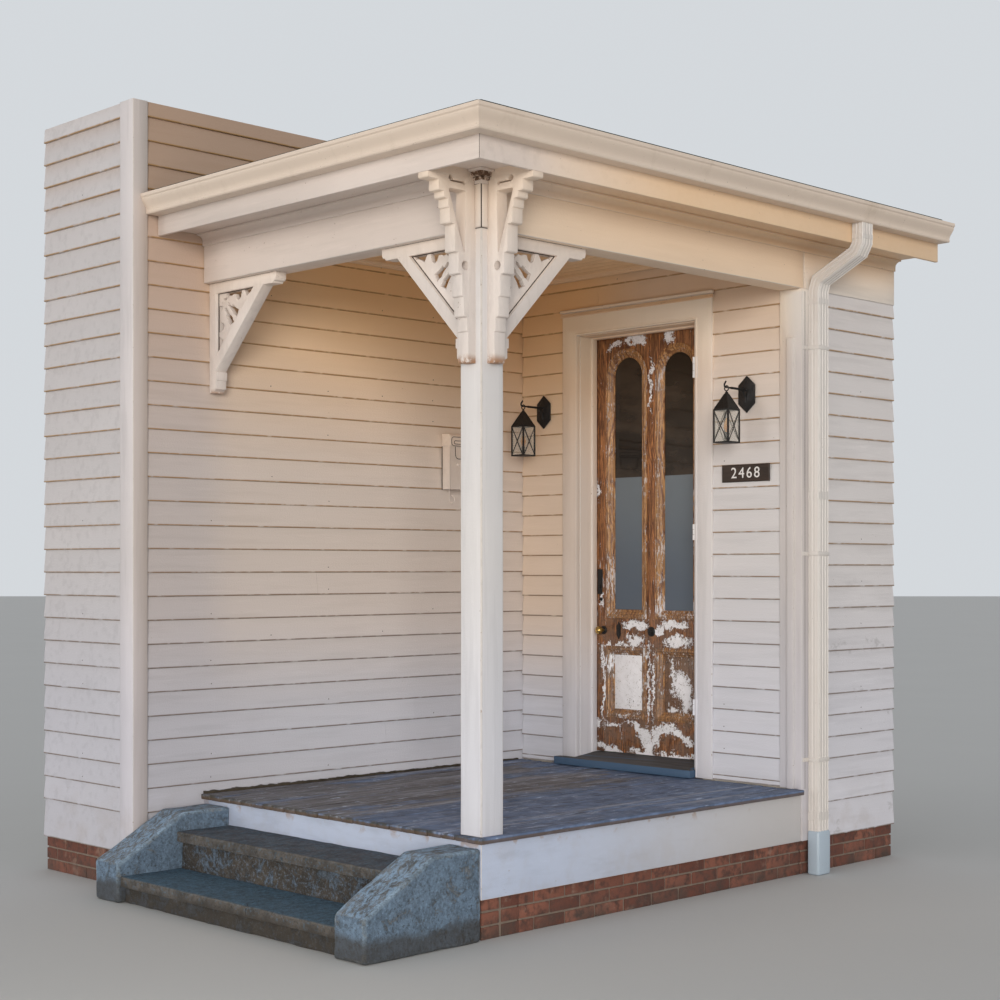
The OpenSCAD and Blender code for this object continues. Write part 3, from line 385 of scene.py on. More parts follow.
def worn_deck(name):
    """Floor boards: blue-grey paint at the sides, worn to brown-grey wood where people walk."""
    f = Finish(name, roughness=0.7)
    lengthwise = f.stretched((1, 0.045, 1))
    grain = f.cloud(46, detail=7, rough=0.68, at=lengthwise, swirl=0.5)
    wood = f.blend(f.step(grain, 0.34, 0.64), rgb(0.050, 0.046, 0.046), rgb(0.240, 0.228, 0.228))
    wood = f.blend(f.times(f.attribute("tone"), 0.60), wood, rgb(0.074, 0.064, 0.060))
    # Paint, kept more by the open side and by the wall
    paint = f.blend(f.spots(12, 0.35, 0.65, detail=5), rgb(0.070, 0.098, 0.150),
                    rgb(0.125, 0.165, 0.245))
    kept = f.plus(f.cloud(5.5, detail=8, rough=0.72, at=f.stretched((1, 0.25, 1))),
                  f.times(grain, 0.30))
    side = f.times(f.reach("X", 0.10, 0.95), 0.52)
    back = f.times(f.reach("Y", -0.75, -0.15), 0.12)
    kept = f.plus(f.plus(kept, side), f.plus(back, f.times(f.attribute("tone"), 0.06)))
    base = f.blend(f.step(kept, 0.70, 0.78), wood, paint)
    # Pale patches, scuffs and cracks
    pale = f.times(f.spots(9, 0.52, 0.66, detail=7, rough=0.75, at=lengthwise), 0.75)
    base = f.blend(pale, base, rgb(0.285, 0.292, 0.325))
    scuffs = f.spots(34, 0.56, 0.62, detail=8, rough=0.80, at=f.stretched((1, 0.16, 1)))
    base = f.blend(f.times(scuffs, 0.75), base, rgb(0.42, 0.45, 0.52))
    cracks = f.spots(80, 0.44, 0.38, detail=6, rough=0.7, at=lengthwise)
    base = f.blend(f.times(cracks, 0.8), base, rgb(0.020, 0.016, 0.014))
    base = f.blend(1.0, base, rgb(1.22, 1.30, 1.46), "MULTIPLY")
    # Dirt on the boards' front ends, and darker brown on their undersides
    ends = f.times(f.reach("Y", -2.52, -2.575), f.spots(22, 0.34, 0.58, detail=7))
    base = f.blend(f.times(ends, 0.9), base, rgb(0.045, 0.042, 0.026))
    under = f.reach("Z", 0.462, 0.456)
    base = f.blend(f.times(under, 0.8), base, rgb(0.11, 0.070, 0.045))
    f.colour(base)
    f.rough(f.plus(f.times(grain, 0.3), 0.48))
    f.relief(f.plus(grain, f.times(f.cloud(120, at=lengthwise), 0.3)), 0.006)
    return f.material


def wandering(f):
    """The place across and up the door, pushed about so that round shapes turn ragged."""
    place = f.place
    for scale, reach in ((11, 0.13), (46, 0.075)):
        made = f.node("ShaderNodeTexNoise")
        f.put(made.inputs["Vector"], f.place)
        made.inputs["Scale"].default_value = scale
        made.inputs["Detail"].default_value = 5
        made.inputs["Roughness"].default_value = 0.65
        middle = f.node("ShaderNodeVectorMath", operation="SUBTRACT")
        f.put(middle.inputs[0], made.outputs["Color"])
        middle.inputs[1].default_value = (0.5, 0.5, 0.5)
        far = f.node("ShaderNodeVectorMath", operation="SCALE")
        f.put(far.inputs[0], middle.outputs[0])
        far.inputs["Scale"].default_value = reach
        moved = f.node("ShaderNodeVectorMath", operation="ADD")
        f.put(moved.inputs[0], place)
        f.put(moved.inputs[1], far.outputs[0])
        place = moved.outputs[0]
    return f.axis("X", place), f.axis("Z", place)


def patch(f, across, up, x, z, half_w, half_h, turn=0.0):
    """1 at a spot on the door and 0 outside its half width and half height."""
    dx, dz = f.plus(across, -x), f.plus(up, -z)
    c, s = math.cos(turn), math.sin(turn)
    long = f.plus(f.times(dx, c / half_w), f.times(dz, s / half_w))
    tall = f.plus(f.times(dx, -s / half_h), f.times(dz, c / half_h))
    reach = f.sum("SQRT", f.plus(f.times(long, long), f.times(tall, tall)), 0.0)
    return f.step(reach, 1.9, 0.45)


# What is left of the door's white paint: middle, half width, half height and turn of each patch
WHITE_PATCHES = (
    (-0.134, 1.332, 0.089, 0.028, 0.05), (-0.134, 1.248, 0.069, 0.024, 0.00),
    (0.179, 1.340, 0.089, 0.022, -0.05), (0.212, 1.246, 0.101, 0.027, 0.00),
    (0.066, 1.308, 0.043, 0.015, 0.40), (-0.205, 1.207, 0.190, 0.008, 0.00),
    (-0.392, 0.958, 0.010, 0.221, 0.00), (-0.022, 0.976, 0.010, 0.221, 0.00),
    (0.016, 0.962, 0.010, 0.188, 0.00), (-0.314, 0.724, 0.063, 0.013, 0.00),
    (-0.425, 0.714, 0.017, 0.029, 0.00), (-0.102, 0.700, 0.089, 0.022, -0.50),
    (-0.046, 0.653, 0.037, 0.066, 0.15), (-0.018, 0.585, 0.040, 0.055, 0.00),
    (0.038, 0.665, 0.032, 0.049, -0.30), (0.100, 0.706, 0.072, 0.027, 0.20),
    (0.200, 0.700, 0.063, 0.020, -0.35), (0.285, 0.658, 0.037, 0.020, -0.50),
    (-0.343, 0.570, 0.095, 0.024, -0.30), (-0.060, 0.556, 0.101, 0.018, -0.05),
    (0.190, 0.562, 0.144, 0.014, -0.05), (0.370, 0.575, 0.060, 0.018, 0.00),
    (-0.391, 1.488, 0.014, 0.038, 0.00), (0.390, 0.820, 0.010, 0.150, 0.00),
    (-0.290, 3.052, 0.063, 0.018, 0.40), (-0.188, 3.078, 0.029, 0.020, 0.00),
    (-0.118, 3.078, 0.063, 0.024, 0.00), (0.141, 3.069, 0.037, 0.040, 0.50),
    (-0.005, 2.780, 0.008, 0.150, 0.00), (-0.432, 2.161, 0.014, 0.055, 0.00))
# The same for the panels at the door's foot
PANEL_PATCHES = ((0.222, 0.975, 0.069, 0.077, 0.20), (0.262, 0.885, 0.034, 0.062, 0.00),
                 (0.150, 1.044, 0.012, 0.073, 0.10), (0.150, 0.835, 0.049, 0.015, 0.00))


def peeled_door(name, dark, light, patches=(), flecks=0.5):
    """Stripped brown wood with long dark grain, and white paint left in patches."""
    f = Finish(name, roughness=0.5)
    # The wood: grain, veins, broad figure, greying at the foot and fine cracks
    lengthwise = f.stretched((1, 1, 0.07))
    grain = f.cloud(52, detail=8, rough=0.66, at=lengthwise, swirl=2.2)
    wood = f.blend(f.step(grain, 0.34, 0.66), dark, light)
    veins = f.spots(120, 0.46, 0.62, detail=4, rough=0.6, at=f.stretched((1, 1, 0.035)), swirl=1.0)
    wood = f.blend(f.times(veins, 0.66), wood, shade(dark, 0.7))
    wood = f.blend(f.times(f.spots(5, 0.45, 0.70, detail=5), 0.45),
                   wood, shade(light, 0.55))
    figure = f.plus(f.axis("X"), f.times(f.cloud(2.6, detail=3, rough=0.5,
                                                 at=f.stretched((1, 1, 0.55))), 0.30))
    figure = f.step(f.sum("SINE", f.times(figure, 330), 0.0), 0.10, 0.85)
    wood = f.blend(f.times(figure, f.spots(9, 0.38, 0.56, detail=4), 0.75), wood,
                   rgb(0.105, 0.028, 0.012))
    height = f.axis("Z")
    grey_low = f.step(height, 1.62, 1.15)
    wood = f.blend(f.times(grey_low, 0.65, f.spots(16, 0.36, 0.60, detail=6)),
                   wood, rgb(0.185, 0.120, 0.086))
    crackle = f.spots(75, 0.47, 0.41, detail=7, rough=0.78, swirl=1.0)
    wood = f.blend(f.times(crackle, f.plus(f.times(grey_low, 0.45), 0.30)), wood,
                   rgb(0.030, 0.016, 0.010))
    # The paint holds on in its patches, with ragged edges, and in flecks elsewhere
    lift = f.attribute("white")
    across, up = wandering(f)
    for x, z, half_w, half_h, turn in patches:
        lift = f.most(lift, patch(f, across, up, x, z, half_w, half_h, turn))
    broad = f.spots(30, 0.34, 0.66, detail=8, rough=0.76, swirl=1.5)
    fine = f.spots(150, 0.34, 0.66, detail=5, rough=0.70, swirl=0.6)
    ragged = f.plus(f.times(broad, 0.55), f.times(fine, 0.45))
    speck = f.plus(f.cloud(85, detail=5, rough=0.75, at=f.stretched((1, 1, 0.22))),
                   f.times(f.cloud(6, detail=3), 0.5))
    speckled = f.step(speck, 0.98 - 0.16 * flecks, 1.01 - 0.16 * flecks)
    held_on = f.plus(ragged, f.times(lift, 0.95))
    paint = f.step(held_on, 1.10, 1.12)
    paint = f.most(paint, f.times(speckled, f.plus(f.times(grey_low, 0.5), 0.5)))
    # A darker band of wood round the paint: painted shadow of the paint's thick edge
    rim = f.step(held_on, 0.92, 1.06)
    wood = f.blend(f.times(rim, 0.65), wood, shade(dark, 0.9))
    chalk = f.blend(f.cloud(30, detail=6), rgb(0.72, 0.70, 0.71), rgb(0.94, 0.93, 0.97))
    f.colour(f.blend(paint, wood, chalk))
    f.rough(f.plus(f.times(grain, 0.25), 0.36))
    f.relief(f.plus(f.times(paint, 0.9), f.times(grain, 0.5)), 0.0028)
    return f.material


def old_brick(name):
    f = Finish(name, roughness=0.88)
    tone = f.attribute("tone")
    base = f.blend(tone, rgb(0.135, 0.047, 0.031), rgb(0.27, 0.105, 0.068))
    base = f.blend(f.spots(28, 0.42, 0.70, detail=5), base, rgb(0.085, 0.040, 0.030))
    lime = f.spots(9, 0.56, 0.72, detail=6, rough=0.7)
    base = f.blend(f.times(lime, 0.35), base, rgb(0.42, 0.32, 0.25))
    soot = f.times(f.reach("Z", 0.13, 0.0), f.spots(6, 0.35, 0.62, detail=6))
    base = f.blend(f.times(soot, 0.7), base, rgb(0.060, 0.048, 0.040))
    f.colour(base)
    f.relief(f.plus(f.cloud(70, detail=5), f.times(f.cells(130), 0.3)), 0.004)
    return f.material


def mortar(name):
    f = Finish(name, roughness=0.95)
    f.colour(f.blend(f.cloud(40, detail=5), rgb(0.15, 0.115, 0.090), rgb(0.28, 0.22, 0.175)))
    f.relief(f.cloud(160, detail=4), 0.003)
    return f.material


def concrete(name, colour, coat, coat_share=0.5, stained=0.3, worn_top=0.0, low_blue=0.0,
             scrape_and_top_light=0.0, side=None, crack=None):
    """Weathered concrete with pits, damp stains and what is left of a coat of floor paint."""
    f = Finish(name, roughness=0.85)
    mottled = f.cloud(9, detail=9, rough=0.72)
    base = f.blend(f.step(mottled, 0.38, 0.62), shade(colour, 0.60), shade(colour, 1.35))
    sand = f.cloud(150, detail=3)
    base = f.blend(f.times(f.step(sand, 0.52, 0.75), 0.4), base, shade(colour, 1.7))
    patches = f.plus(f.cloud(7.5, detail=10, rough=0.80, swirl=0.5), f.times(sand, 0.16))
    upward = f.step(f.facing("Z"), 0.35, 0.75)
    if side:
        base = f.blend(upward, f.blend(f.step(mottled, 0.36, 0.64), shade(side, 0.55),
                                       shade(side, 1.25)), base)
    # Floor paint, worn off on top and kept low down
    bias = f.times(upward, -worn_top)
    bias = f.plus(bias, f.times(f.reach("Z", 0.20, 0.19), upward, low_blue))
    left = f.step(f.plus(patches, bias), 0.66 - 0.24 * coat_share, 0.71 - 0.24 * coat_share)
    chalky = f.blend(f.spots(21, 0.35, 0.65, detail=7, rough=0.7), shade(coat, 0.74),
                     shade(coat, 1.22))
    base = f.blend(f.times(left, 0.92), base, chalky)
    # Damp stains, scraped paint and painted light on the tops, grit, pits and soil
    green = f.spots(3.8, 0.50, 0.72, detail=8, rough=0.75)
    damp = f.plus(f.times(f.reach("Z", 0.22, 0.0), 0.5), 0.5)
    base = f.blend(f.times(green, damp, stained), base, rgb(0.075, 0.066, 0.040))
    # A lighter copy of the coat on upward faces: scraped paint, partly painted light on the tops
    if scrape_and_top_light:
        scrape = f.cloud(38, detail=8, rough=0.74, at=f.stretched((1, 0.35, 1)), swirl=0.7)
        base = f.blend(f.times(f.step(scrape, 0.44, 0.58), upward, scrape_and_top_light), base,
                       shade(coat, 2.1))
    grit = f.cloud(62, detail=8, rough=0.80)
    base = f.blend(f.times(f.step(grit, 0.53, 0.62), 0.55), base, shade(coat, 1.9))
    base = f.blend(f.times(f.step(grit, 0.47, 0.38), 0.75), base, shade(colour, 0.30))
    pits = f.step(f.cells(75), 0.16, 0.05)
    base = f.blend(f.times(pits, 0.6), base, shade(colour, 0.35))
    soil = f.plus(f.reach("Z", 0.20, 0.0), f.times(f.cloud(5, detail=6), 0.9))
    base = f.blend(f.times(f.step(soil, 0.75, 1.15), 0.75), base, rgb(0.052, 0.043, 0.034))
    if crack:
        line = f.plus(f.axis("X"), f.plus(f.times(f.cloud(6, detail=6), 0.22), -crack - 0.11))
        line = f.times(f.step(f.sum("ABSOLUTE", line, 0.0), 0.005, 0.001),
                       f.reach("Z", 0.20, 0.18))
        base = f.blend(f.times(line, 0.9), base, rgb(0.012, 0.010, 0.008))
    f.colour(base)
    height = f.plus(f.times(mottled, 1.2), f.times(grit, 0.55))
    height = f.plus(height, f.times(pits, -0.6))
    f.relief(f.plus(height, f.times(left, 0.15)), 0.020)
    return f.material


def shingle_finish(name):
    f = Finish(name, roughness=0.93)
    grit = f.cells(420)
    base = f.blend(f.attribute("tone"), rgb(0.010, 0.026, 0.020), rgb(0.026, 0.052, 0.042))
    base = f.blend(f.step(grit, 0.25, 0.55), rgb(0.006, 0.014, 0.012), base)
    streak = f.spots(1.4, 0.50, 0.74, detail=6, rough=0.7)
    base = f.blend(f.times(streak, 0.5), base, rgb(0.045, 0.052, 0.044))
    f.colour(base)
    f.relief(grit, 0.002)
    return f.material


def enamel(name, colour, soil=0.35):
    """Baked enamel on sheet metal, chalky, with water streaks and dirt in the folds."""
    f = Finish(name, roughness=0.42)
    base = f.blend(f.cloud(1.1), shade(colour, 0.95), shade(colour, 1.03))
    streak = f.spots(6, 0.52, 0.78, detail=6, rough=0.7, at=f.stretched((1, 1, 0.25)))
    base = f.blend(f.times(streak, soil), base, rgb(0.42, 0.33, 0.24))
    specks = f.step(f.plus(f.cloud(120, detail=2), f.times(f.cloud(10), 0.3)), 0.90, 0.93)
    base = f.blend(specks, base, rgb(0.16, 0.11, 0.08))
    f.colour(base)
    f.rough(f.plus(f.times(streak, 0.3), 0.38))
    f.relief(f.cloud(18, detail=3), 0.0012)
    return f.material


def iron(name, colour, rust=0.25):
    f = Finish(name, roughness=0.48, Metallic=0.35)
    hammered = f.cells(95)
    rusty = f.times(f.spots(26, 0.56, 0.74, detail=6, rough=0.7), rust)
    base = f.blend(f.cloud(60), shade(colour, 0.7), shade(colour, 1.7))
    f.colour(f.blend(rusty, base, rgb(0.13, 0.055, 0.025)))
    f.rough(f.plus(f.times(f.cloud(40), 0.3), 0.34))
    f.relief(f.plus(hammered, f.times(f.cloud(160), 0.3)), 0.0012)
    return f.material


def old_brass(name):
    f = Finish(name, roughness=0.3, Metallic=0.9)
    tarnish = f.spots(55, 0.40, 0.70, detail=5, rough=0.7)
    f.colour(f.blend(tarnish, rgb(0.62, 0.42, 0.13), rgb(0.16, 0.085, 0.030)))
    f.rough(f.plus(f.times(tarnish, 0.35), 0.22))
    f.relief(f.cloud(200), 0.0004)
    return f.material


def door_pane(name):
    """Glass painted dark above, as shade of the room behind, and frosted blue-grey film below."""
    f = Finish(name, roughness=0.06)
    height = f.axis("Z")
    frosted = f.step(height, 2.240, 2.236)
    # Painted shade: the dark room seen through the glass
    dark = f.blend(f.spots(2.0, 0.40, 0.62, at=f.stretched((1, 1, 2.5))),
                   rgb(0.010, 0.008, 0.007), rgb(0.036, 0.026, 0.019))
    film = f.blend(f.step(height, 1.5, 2.25), rgb(0.085, 0.112, 0.150), rgb(0.150, 0.180, 0.205))
    film = f.blend(f.times(f.cloud(9, detail=5), 0.3), film, rgb(0.11, 0.115, 0.12))
    f.colour(f.blend(frosted, dark, film))
    f.rough(f.plus(f.times(frosted, 0.42), 0.05))
    f.relief(f.cloud(3.5, detail=2), 0.0015)
    return f.material


def thin_glass(name):
    f = Finish(name, roughness=0.05, Alpha=0.14)
    f.colour(f.blend(f.cloud(20, detail=4), rgb(0.70, 0.68, 0.60), rgb(0.86, 0.83, 0.75)))
    f.relief(f.cloud(30), 0.0008)
    return f.material


def plaster(name, colour):
    f = Finish(name, roughness=0.9)
    base = f.blend(f.cloud(1.6, detail=6), shade(colour, 0.90), shade(colour, 1.05))
    low = f.times(f.reach("Z", 1.0, 0.3), f.cloud(5, detail=5))
    f.colour(f.blend(f.times(low, 0.5), base, OLD_DIRT))
    f.relief(f.cloud(26, detail=6), 0.004)
    return f.material


def bulb_glow(name):
    # An amber bulb, lighter towards its top: a painted glow, as it gives no light
    f = Finish(name, roughness=0.25)
    f.colour(f.blend(f.reach("Z", 2.45, 2.53), rgb(0.62, 0.25, 0.06), rgb(0.80, 0.46, 0.18)))
    f.relief(f.cloud(90), 0.0005)
    return f.material


CREAM = rgb(0.560, 0.530, 0.533)
OPEN_CREAM = rgb(0.700, 0.660, 0.650)
TRIM_CREAM = rgb(0.558, 0.512, 0.498)
# The eaves and front creams are lighter and warmer than the trim's: painted light under the roof
EAVES_CREAM = rgb(0.780, 0.700, 0.625)
FRONT_CREAM = rgb(0.715, 0.645, 0.605)
WHITE_PAINT = rgb(0.695, 0.670, 0.665)
BRACKET_WHITE = rgb(0.730, 0.655, 0.610)

siding_y = oil_paint("siding_paint_along_wall", CREAM, (1, 0.07, 1), 0.4, 1.0, lap_dirt_and_shade=True,
                     outer=0.75, low_tint=0.24, roof_shadow_top=0.78)
siding_x = oil_paint("siding_paint_across_wall", CREAM, (0.07, 1, 1), 0.4, 1.0, lap_dirt_and_shade=True,
                     low_tint=0.45)
siding_outside = oil_paint("siding_paint_open_wall", OPEN_CREAM, (1, 0.07, 1), 0.5, 0.0,
                           lap_dirt_and_shade=True, soiled=True)
trim_z = oil_paint("trim_paint_upright", TRIM_CREAM, (1, 1, 0.07), 0.4, 0.85, corner=True,
                   low_tint=0.30)
trim_x = oil_paint("trim_paint_front", FRONT_CREAM, (0.07, 1, 1), 1.0, 0.75)
trim_y = oil_paint("trim_paint_side", EAVES_CREAM, (1, 0.07, 1), 1.0, 0.58, outer=0.65)
post_paint = oil_paint("post_paint", WHITE_PAINT, (1, 1, 0.06), 0.5, 0.0, warm_light_top=True)
bracket_paint = oil_paint("bracket_paint", BRACKET_WHITE, (1, 1, 0.3), 0.8, 0.0,
                          worn_foot=True, warm_light_top=True)
# The skirt's white paint made blue-grey as painted shade, paler towards the wall's end
skirt_paint = oil_paint("skirt_paint", rgb(0.495, 0.535, 0.620), (0.2, 0.2, 1), 0.9, 0.0,
                        far_end=rgb(0.600, 0.575, 0.570))
ceiling_paint = oil_paint("ceiling_paint", rgb(0.66, 0.58, 0.48), (0.08, 1, 1), 0.4, 0.8)
worn_edge = oil_paint("worn_edge_paint", rgb(0.60, 0.55, 0.51), (1, 1, 1), 1.6, 0.3)
# Painted shadow on the fretwork's cut edges
fret_shadow_edge = oil_paint("fret_shadow_edge_paint", rgb(0.14, 0.092, 0.064), (1, 1, 1), 1.6, 0.3)
deck_finish = worn_deck("deck_finish")
sill_finish = bare_timber("sill_finish", rgb(0.080, 0.078, 0.082), (0.06, 1, 1), 0.3,
                          paint=rgb(0.050, 0.105, 0.190), paint_share=-0.15, face_paint=0.60)
rough_timber = bare_timber("rough_timber_finish", rgb(0.33, 0.22, 0.13), (0.1, 0.1, 1), 0.3)
floor_timber = bare_timber("floor_timber_finish", rgb(0.24, 0.13, 0.07), (0.06, 1, 1), 0.2)
door_finish = peeled_door("door_finish", rgb(0.052, 0.018, 0.008), rgb(0.54, 0.225, 0.080),
                          patches=WHITE_PATCHES)
door_moulding_finish = peeled_door("door_moulding_finish", rgb(0.19, 0.080, 0.030),
                                   rgb(0.66, 0.350, 0.135), flecks=1.00)
door_panel_finish = peeled_door("door_panel_finish", rgb(0.13, 0.062, 0.032),
                                rgb(0.33, 0.19, 0.11), PANEL_PATCHES, flecks=0.9)
brick_finish = old_brick("brick_finish")
mortar_finish = mortar("mortar_finish")
slab_finish = concrete("slab_finish", rgb(0.077, 0.076, 0.086), rgb(0.059, 0.120, 0.178),
                       coat_share=-0.1, stained=0.20, low_blue=0.46, scrape_and_top_light=0.25,
                       side=rgb(0.120, 0.105, 0.092), crack=0.33)
slab_edge = concrete("slab_edge_finish", rgb(0.125, 0.112, 0.100), rgb(0.095, 0.120, 0.140),
                     coat_share=-0.1, stained=0.30, low_blue=0.20)
riser_finish = concrete("riser_finish", rgb(0.068, 0.056, 0.045), rgb(0.125, 0.170, 0.230),
                        coat_share=0.30, stained=0.90)
cheek_finish = concrete("cheek_finish", rgb(0.170, 0.185, 0.200), rgb(0.150, 0.225, 0.320),
                        coat_share=0.80, stained=0.45, worn_top=0.22, scrape_and_top_light=0.85)
cheek_edge = concrete("cheek_edge_finish", rgb(0.225, 0.260, 0.290), rgb(0.200, 0.280, 0.370),
                      coat_share=0.60, stained=0.50, scrape_and_top_light=0.60)
nail_finish = iron("nail_finish", rgb(0.035, 0.022, 0.016), 0.8)
# Dark finish for open joints and for painted shadow lines
joint_and_shade_finish = bare_timber("dark_joint_and_shade_finish", rgb(0.060, 0.040, 0.028), (1, 1, 0.2), 0.2)
dirt_finish = bare_timber("dirt_finish", rgb(0.050, 0.038, 0.024), (1, 1, 1), 0.4)
peeled_moulding = bare_timber("peeled_moulding_finish", rgb(0.15, 0.078, 0.042), (1, 1, 1), 0.3,
                              paint=rgb(0.62, 0.50, 0.41), paint_share=0.10)
roof_finish = shingle_finish("shingle_finish")
gutter_finish = enamel("gutter_finish", rgb(0.71, 0.590, 0.490))
spout_finish = enamel("downspout_finish", rgb(0.66, 0.615, 0.58), 0.25)
adapter_finish = enamel("adapter_finish", rgb(0.42, 0.50, 0.58), 0.5)
black_iron = iron("black_iron_finish", rgb(0.014, 0.013, 0.013))
old_steel = iron("old_steel_finish", rgb(0.16, 0.15, 0.14), 0.5)
brass_finish = old_brass("brass_finish")
pane_finish = door_pane("pane_finish")
lantern_glass = thin_glass("lantern_glass_finish")
wall_plaster = plaster("wall_plaster_finish", rgb(0.60, 0.55, 0.48))
bulb_finish = bulb_glow("bulb_finish")
# Lighter than the wall's cream: painted light on the box in the porch's shade
mail_finish = oil_paint("mailbox_finish", shade(CREAM, 1.15), (1, 1, 1), 0.3, 1.0, outer=0.75,
                        low_tint=0.24)
plate_finish = bare_timber("number_board_finish", rgb(0.045, 0.028, 0.020), (0.1, 1, 1), 0.2)
numeral_finish = enamel("numeral_finish", rgb(0.74, 0.72, 0.70), 0.15)


# Making pieces

def keep_inside(bm):
    """Holds every point inside the solids' own box."""
    low, high = cad_box
    for v in bm.verts:
        v.co = Vector(min(max(c, a), b) for c, a, b in zip(v.co, low, high))


def piece(name, bm, finishes, body=GROUND_BODY, replaces=(), smooth=35):
    """Turns the mesh into an object that rides on its body."""
    keep_inside(bm)
    mesh = bpy.data.meshes.new(name)
    bm.to_mesh(mesh)
    bm.free()
    for finish in finishes if isinstance(finishes, list) else [finishes]:
        mesh.materials.append(finish)
    if smooth:
        mesh.shade_smooth()
        mesh.set_sharp_from_angle(angle=math.radians(smooth))
    made = bpy.data.objects.new(name, mesh)
    scene.collection.objects.link(made)
    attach(made, body)
    if replaces:
        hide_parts(*replaces)
    return made


def gather(whole, part, tone=None, finish=0):
    """Adds a finished part to the whole mesh, with its own shade of colour."""
    layer = part.verts.layers.float.get("tone") or part.verts.layers.float.new("tone")
    if tone is not None:
        for v in part.verts:
            v[layer] = tone
    if finish:
        for face in part.faces:
            face.material_index = finish
    held = bpy.data.meshes.new("held")
    part.to_mesh(held)
    part.free()
    whole.from_mesh(held)
    bpy.data.meshes.remove(held)


def new_whole():
    bm = bmesh.new()
    bm.verts.layers.float.new("tone")
    return bm


def box_part(low, high, bevel=0.0, segments=1):
    """A block between two corners, with eased edges."""
    low, high = Vector(low), Vector(high)
    bm = bmesh.new()
    size = high - low
    place = Matrix.Translation((low + high) / 2) @ Matrix.Diagonal((*size, 1))
    bmesh.ops.create_cube(bm, size=1, matrix=place)
    if bevel:
        bmesh.ops.bevel(bm, geom=bm.edges[:], offset=bevel, offset_type="OFFSET",
                        segments=segments, profile=0.5, affect="EDGES", material=-1,
                        clamp_overlap=True)
    return bm


def add_box(whole, low, high, bevel=0.0, segments=1, tone=0.5):
    gather(whole, box_part(low, high, bevel, segments), tone=tone)


def faces_towards(part, way):
    return [face for face in part.faces if face.normal.dot(way) > 0.9]


def inset(part, faces, *steps):
    """Insets the faces again and again, by a (thickness, depth) each time."""
    for thickness, depth in steps:
        bmesh.ops.inset_region(part, faces=faces, thickness=thickness, depth=depth)


def slice_along(bm, axis, step):
    """Cuts the mesh by planes across an axis, so that it can bend between them."""
    spots = [v.co.dot(axis) for v in bm.verts]
    low, high = min(spots), max(spots)
    count = max(1, round((high - low) / step))
    for i in range(1, count):
        bmesh.ops.bisect_plane(bm, geom=bm.verts[:] + bm.edges[:] + bm.faces[:], dist=1e-6,
                               plane_co=axis * (low + (high - low) * i / count), plane_no=axis)


def roll_surface(bm, amount, scale, seed=0.0):
    """Moves each point a little, in smooth waves."""
    for v in bm.verts:
        v.co += noise.noise_vector(v.co * scale + Vector((seed, seed, seed))) * amount


def worn(node, bevel=0.002, segments=2, angle=28, cuts=(), roll=0.0, scale=6.0):
    """A copy of a node's shape with eased edges and a slightly uneven surface."""
    bm = bmesh.new()
    bm.from_mesh(nodes[node].data)
    bmesh.ops.remove_doubles(bm, verts=bm.verts[:], dist=1e-5)
    bmesh.ops.dissolve_limit(bm, angle_limit=math.radians(1), verts=bm.verts[:],
                             edges=bm.edges[:], use_dissolve_boundaries=False)
    sharp = [e for e in bm.edges
             if e.is_manifold and e.calc_face_angle(0) > math.radians(angle)]
    if bevel and sharp:
        eased = bmesh.ops.bevel(bm, geom=sharp, offset=bevel, offset_type="OFFSET",
                                segments=segments, profile=0.5, affect="EDGES", material=-1,
                                clamp_overlap=True)
        for face in eased["faces"]:
            face.material_index = 1
    for axis, step in cuts:
        slice_along(bm, axis, step)
    if roll:
        roll_surface(bm, roll, scale)
    return bm


def round_section(radius, sides=8):
    return [(radius * math.cos(t), radius * math.sin(t))
            for t in (math.tau * i / sides for i in range(sides))]


def sweep(bm, section, places, closed=False):
    """Extrudes a closed outline, flat or not, through a row of placements."""
    ring = [bm.verts.new(places[0] @ Vector(p).to_3d()) for p in section]
    first = [bm.edges.new(pair) for pair in zip(ring, ring[1:] + ring[:1])]
    edges = first
    for place, last in zip(places[1:], places):
        out = bmesh.ops.extrude_edge_only(bm, edges=edges)["geom"]
        verts = [g for g in out if isinstance(g, bmesh.types.BMVert)]
        fresh = set(verts)
        edges = [g for g in out if isinstance(g, bmesh.types.BMEdge)
                 and g.verts[0] in fresh and g.verts[1] in fresh]
        bmesh.ops.transform(bm, matrix=place @ last.inverted(), verts=verts)
    if closed:
        bmesh.ops.remove_doubles(bm, verts=bm.verts[:], dist=1e-5)
    else:
        bmesh.ops.contextual_create(bm, geom=first)
        bmesh.ops.contextual_create(bm, geom=edges)
    bmesh.ops.recalc_face_normals(bm, faces=bm.faces[:])


def add_sweep(whole, section, places, closed=False, tone=0.5):
    part = bmesh.new()
    sweep(part, section, places, closed)
    gather(whole, part, tone=tone)


def along_path(points, up, closed=False):
    """Placements that follow a path with mitres: local x across it, y up and z along it."""
    count = len(points)
    places = []
    for i in range(count + (1 if closed else 0)):
        here = points[i % count]
        after = points[(i + 1) % count] if closed or i < count - 1 else None
        before = points[(i - 1) % count] if closed or i > 0 else None
        going = (after - here).normalized() if after else (here - before).normalized()
        coming = (here - before).normalized() if before else going
        along = (going + coming).normalized()
        across = up.cross(along).normalized()
        stretch = 1 / max(0.3, along.dot(going))
        place = Matrix.Identity(4)
        for row in range(3):
            place[row][0] = across[row] * stretch
            place[row][1] = up[row]
            place[row][2] = along[row]
            place[row][3] = here[row]
        places.append(place)
    return places


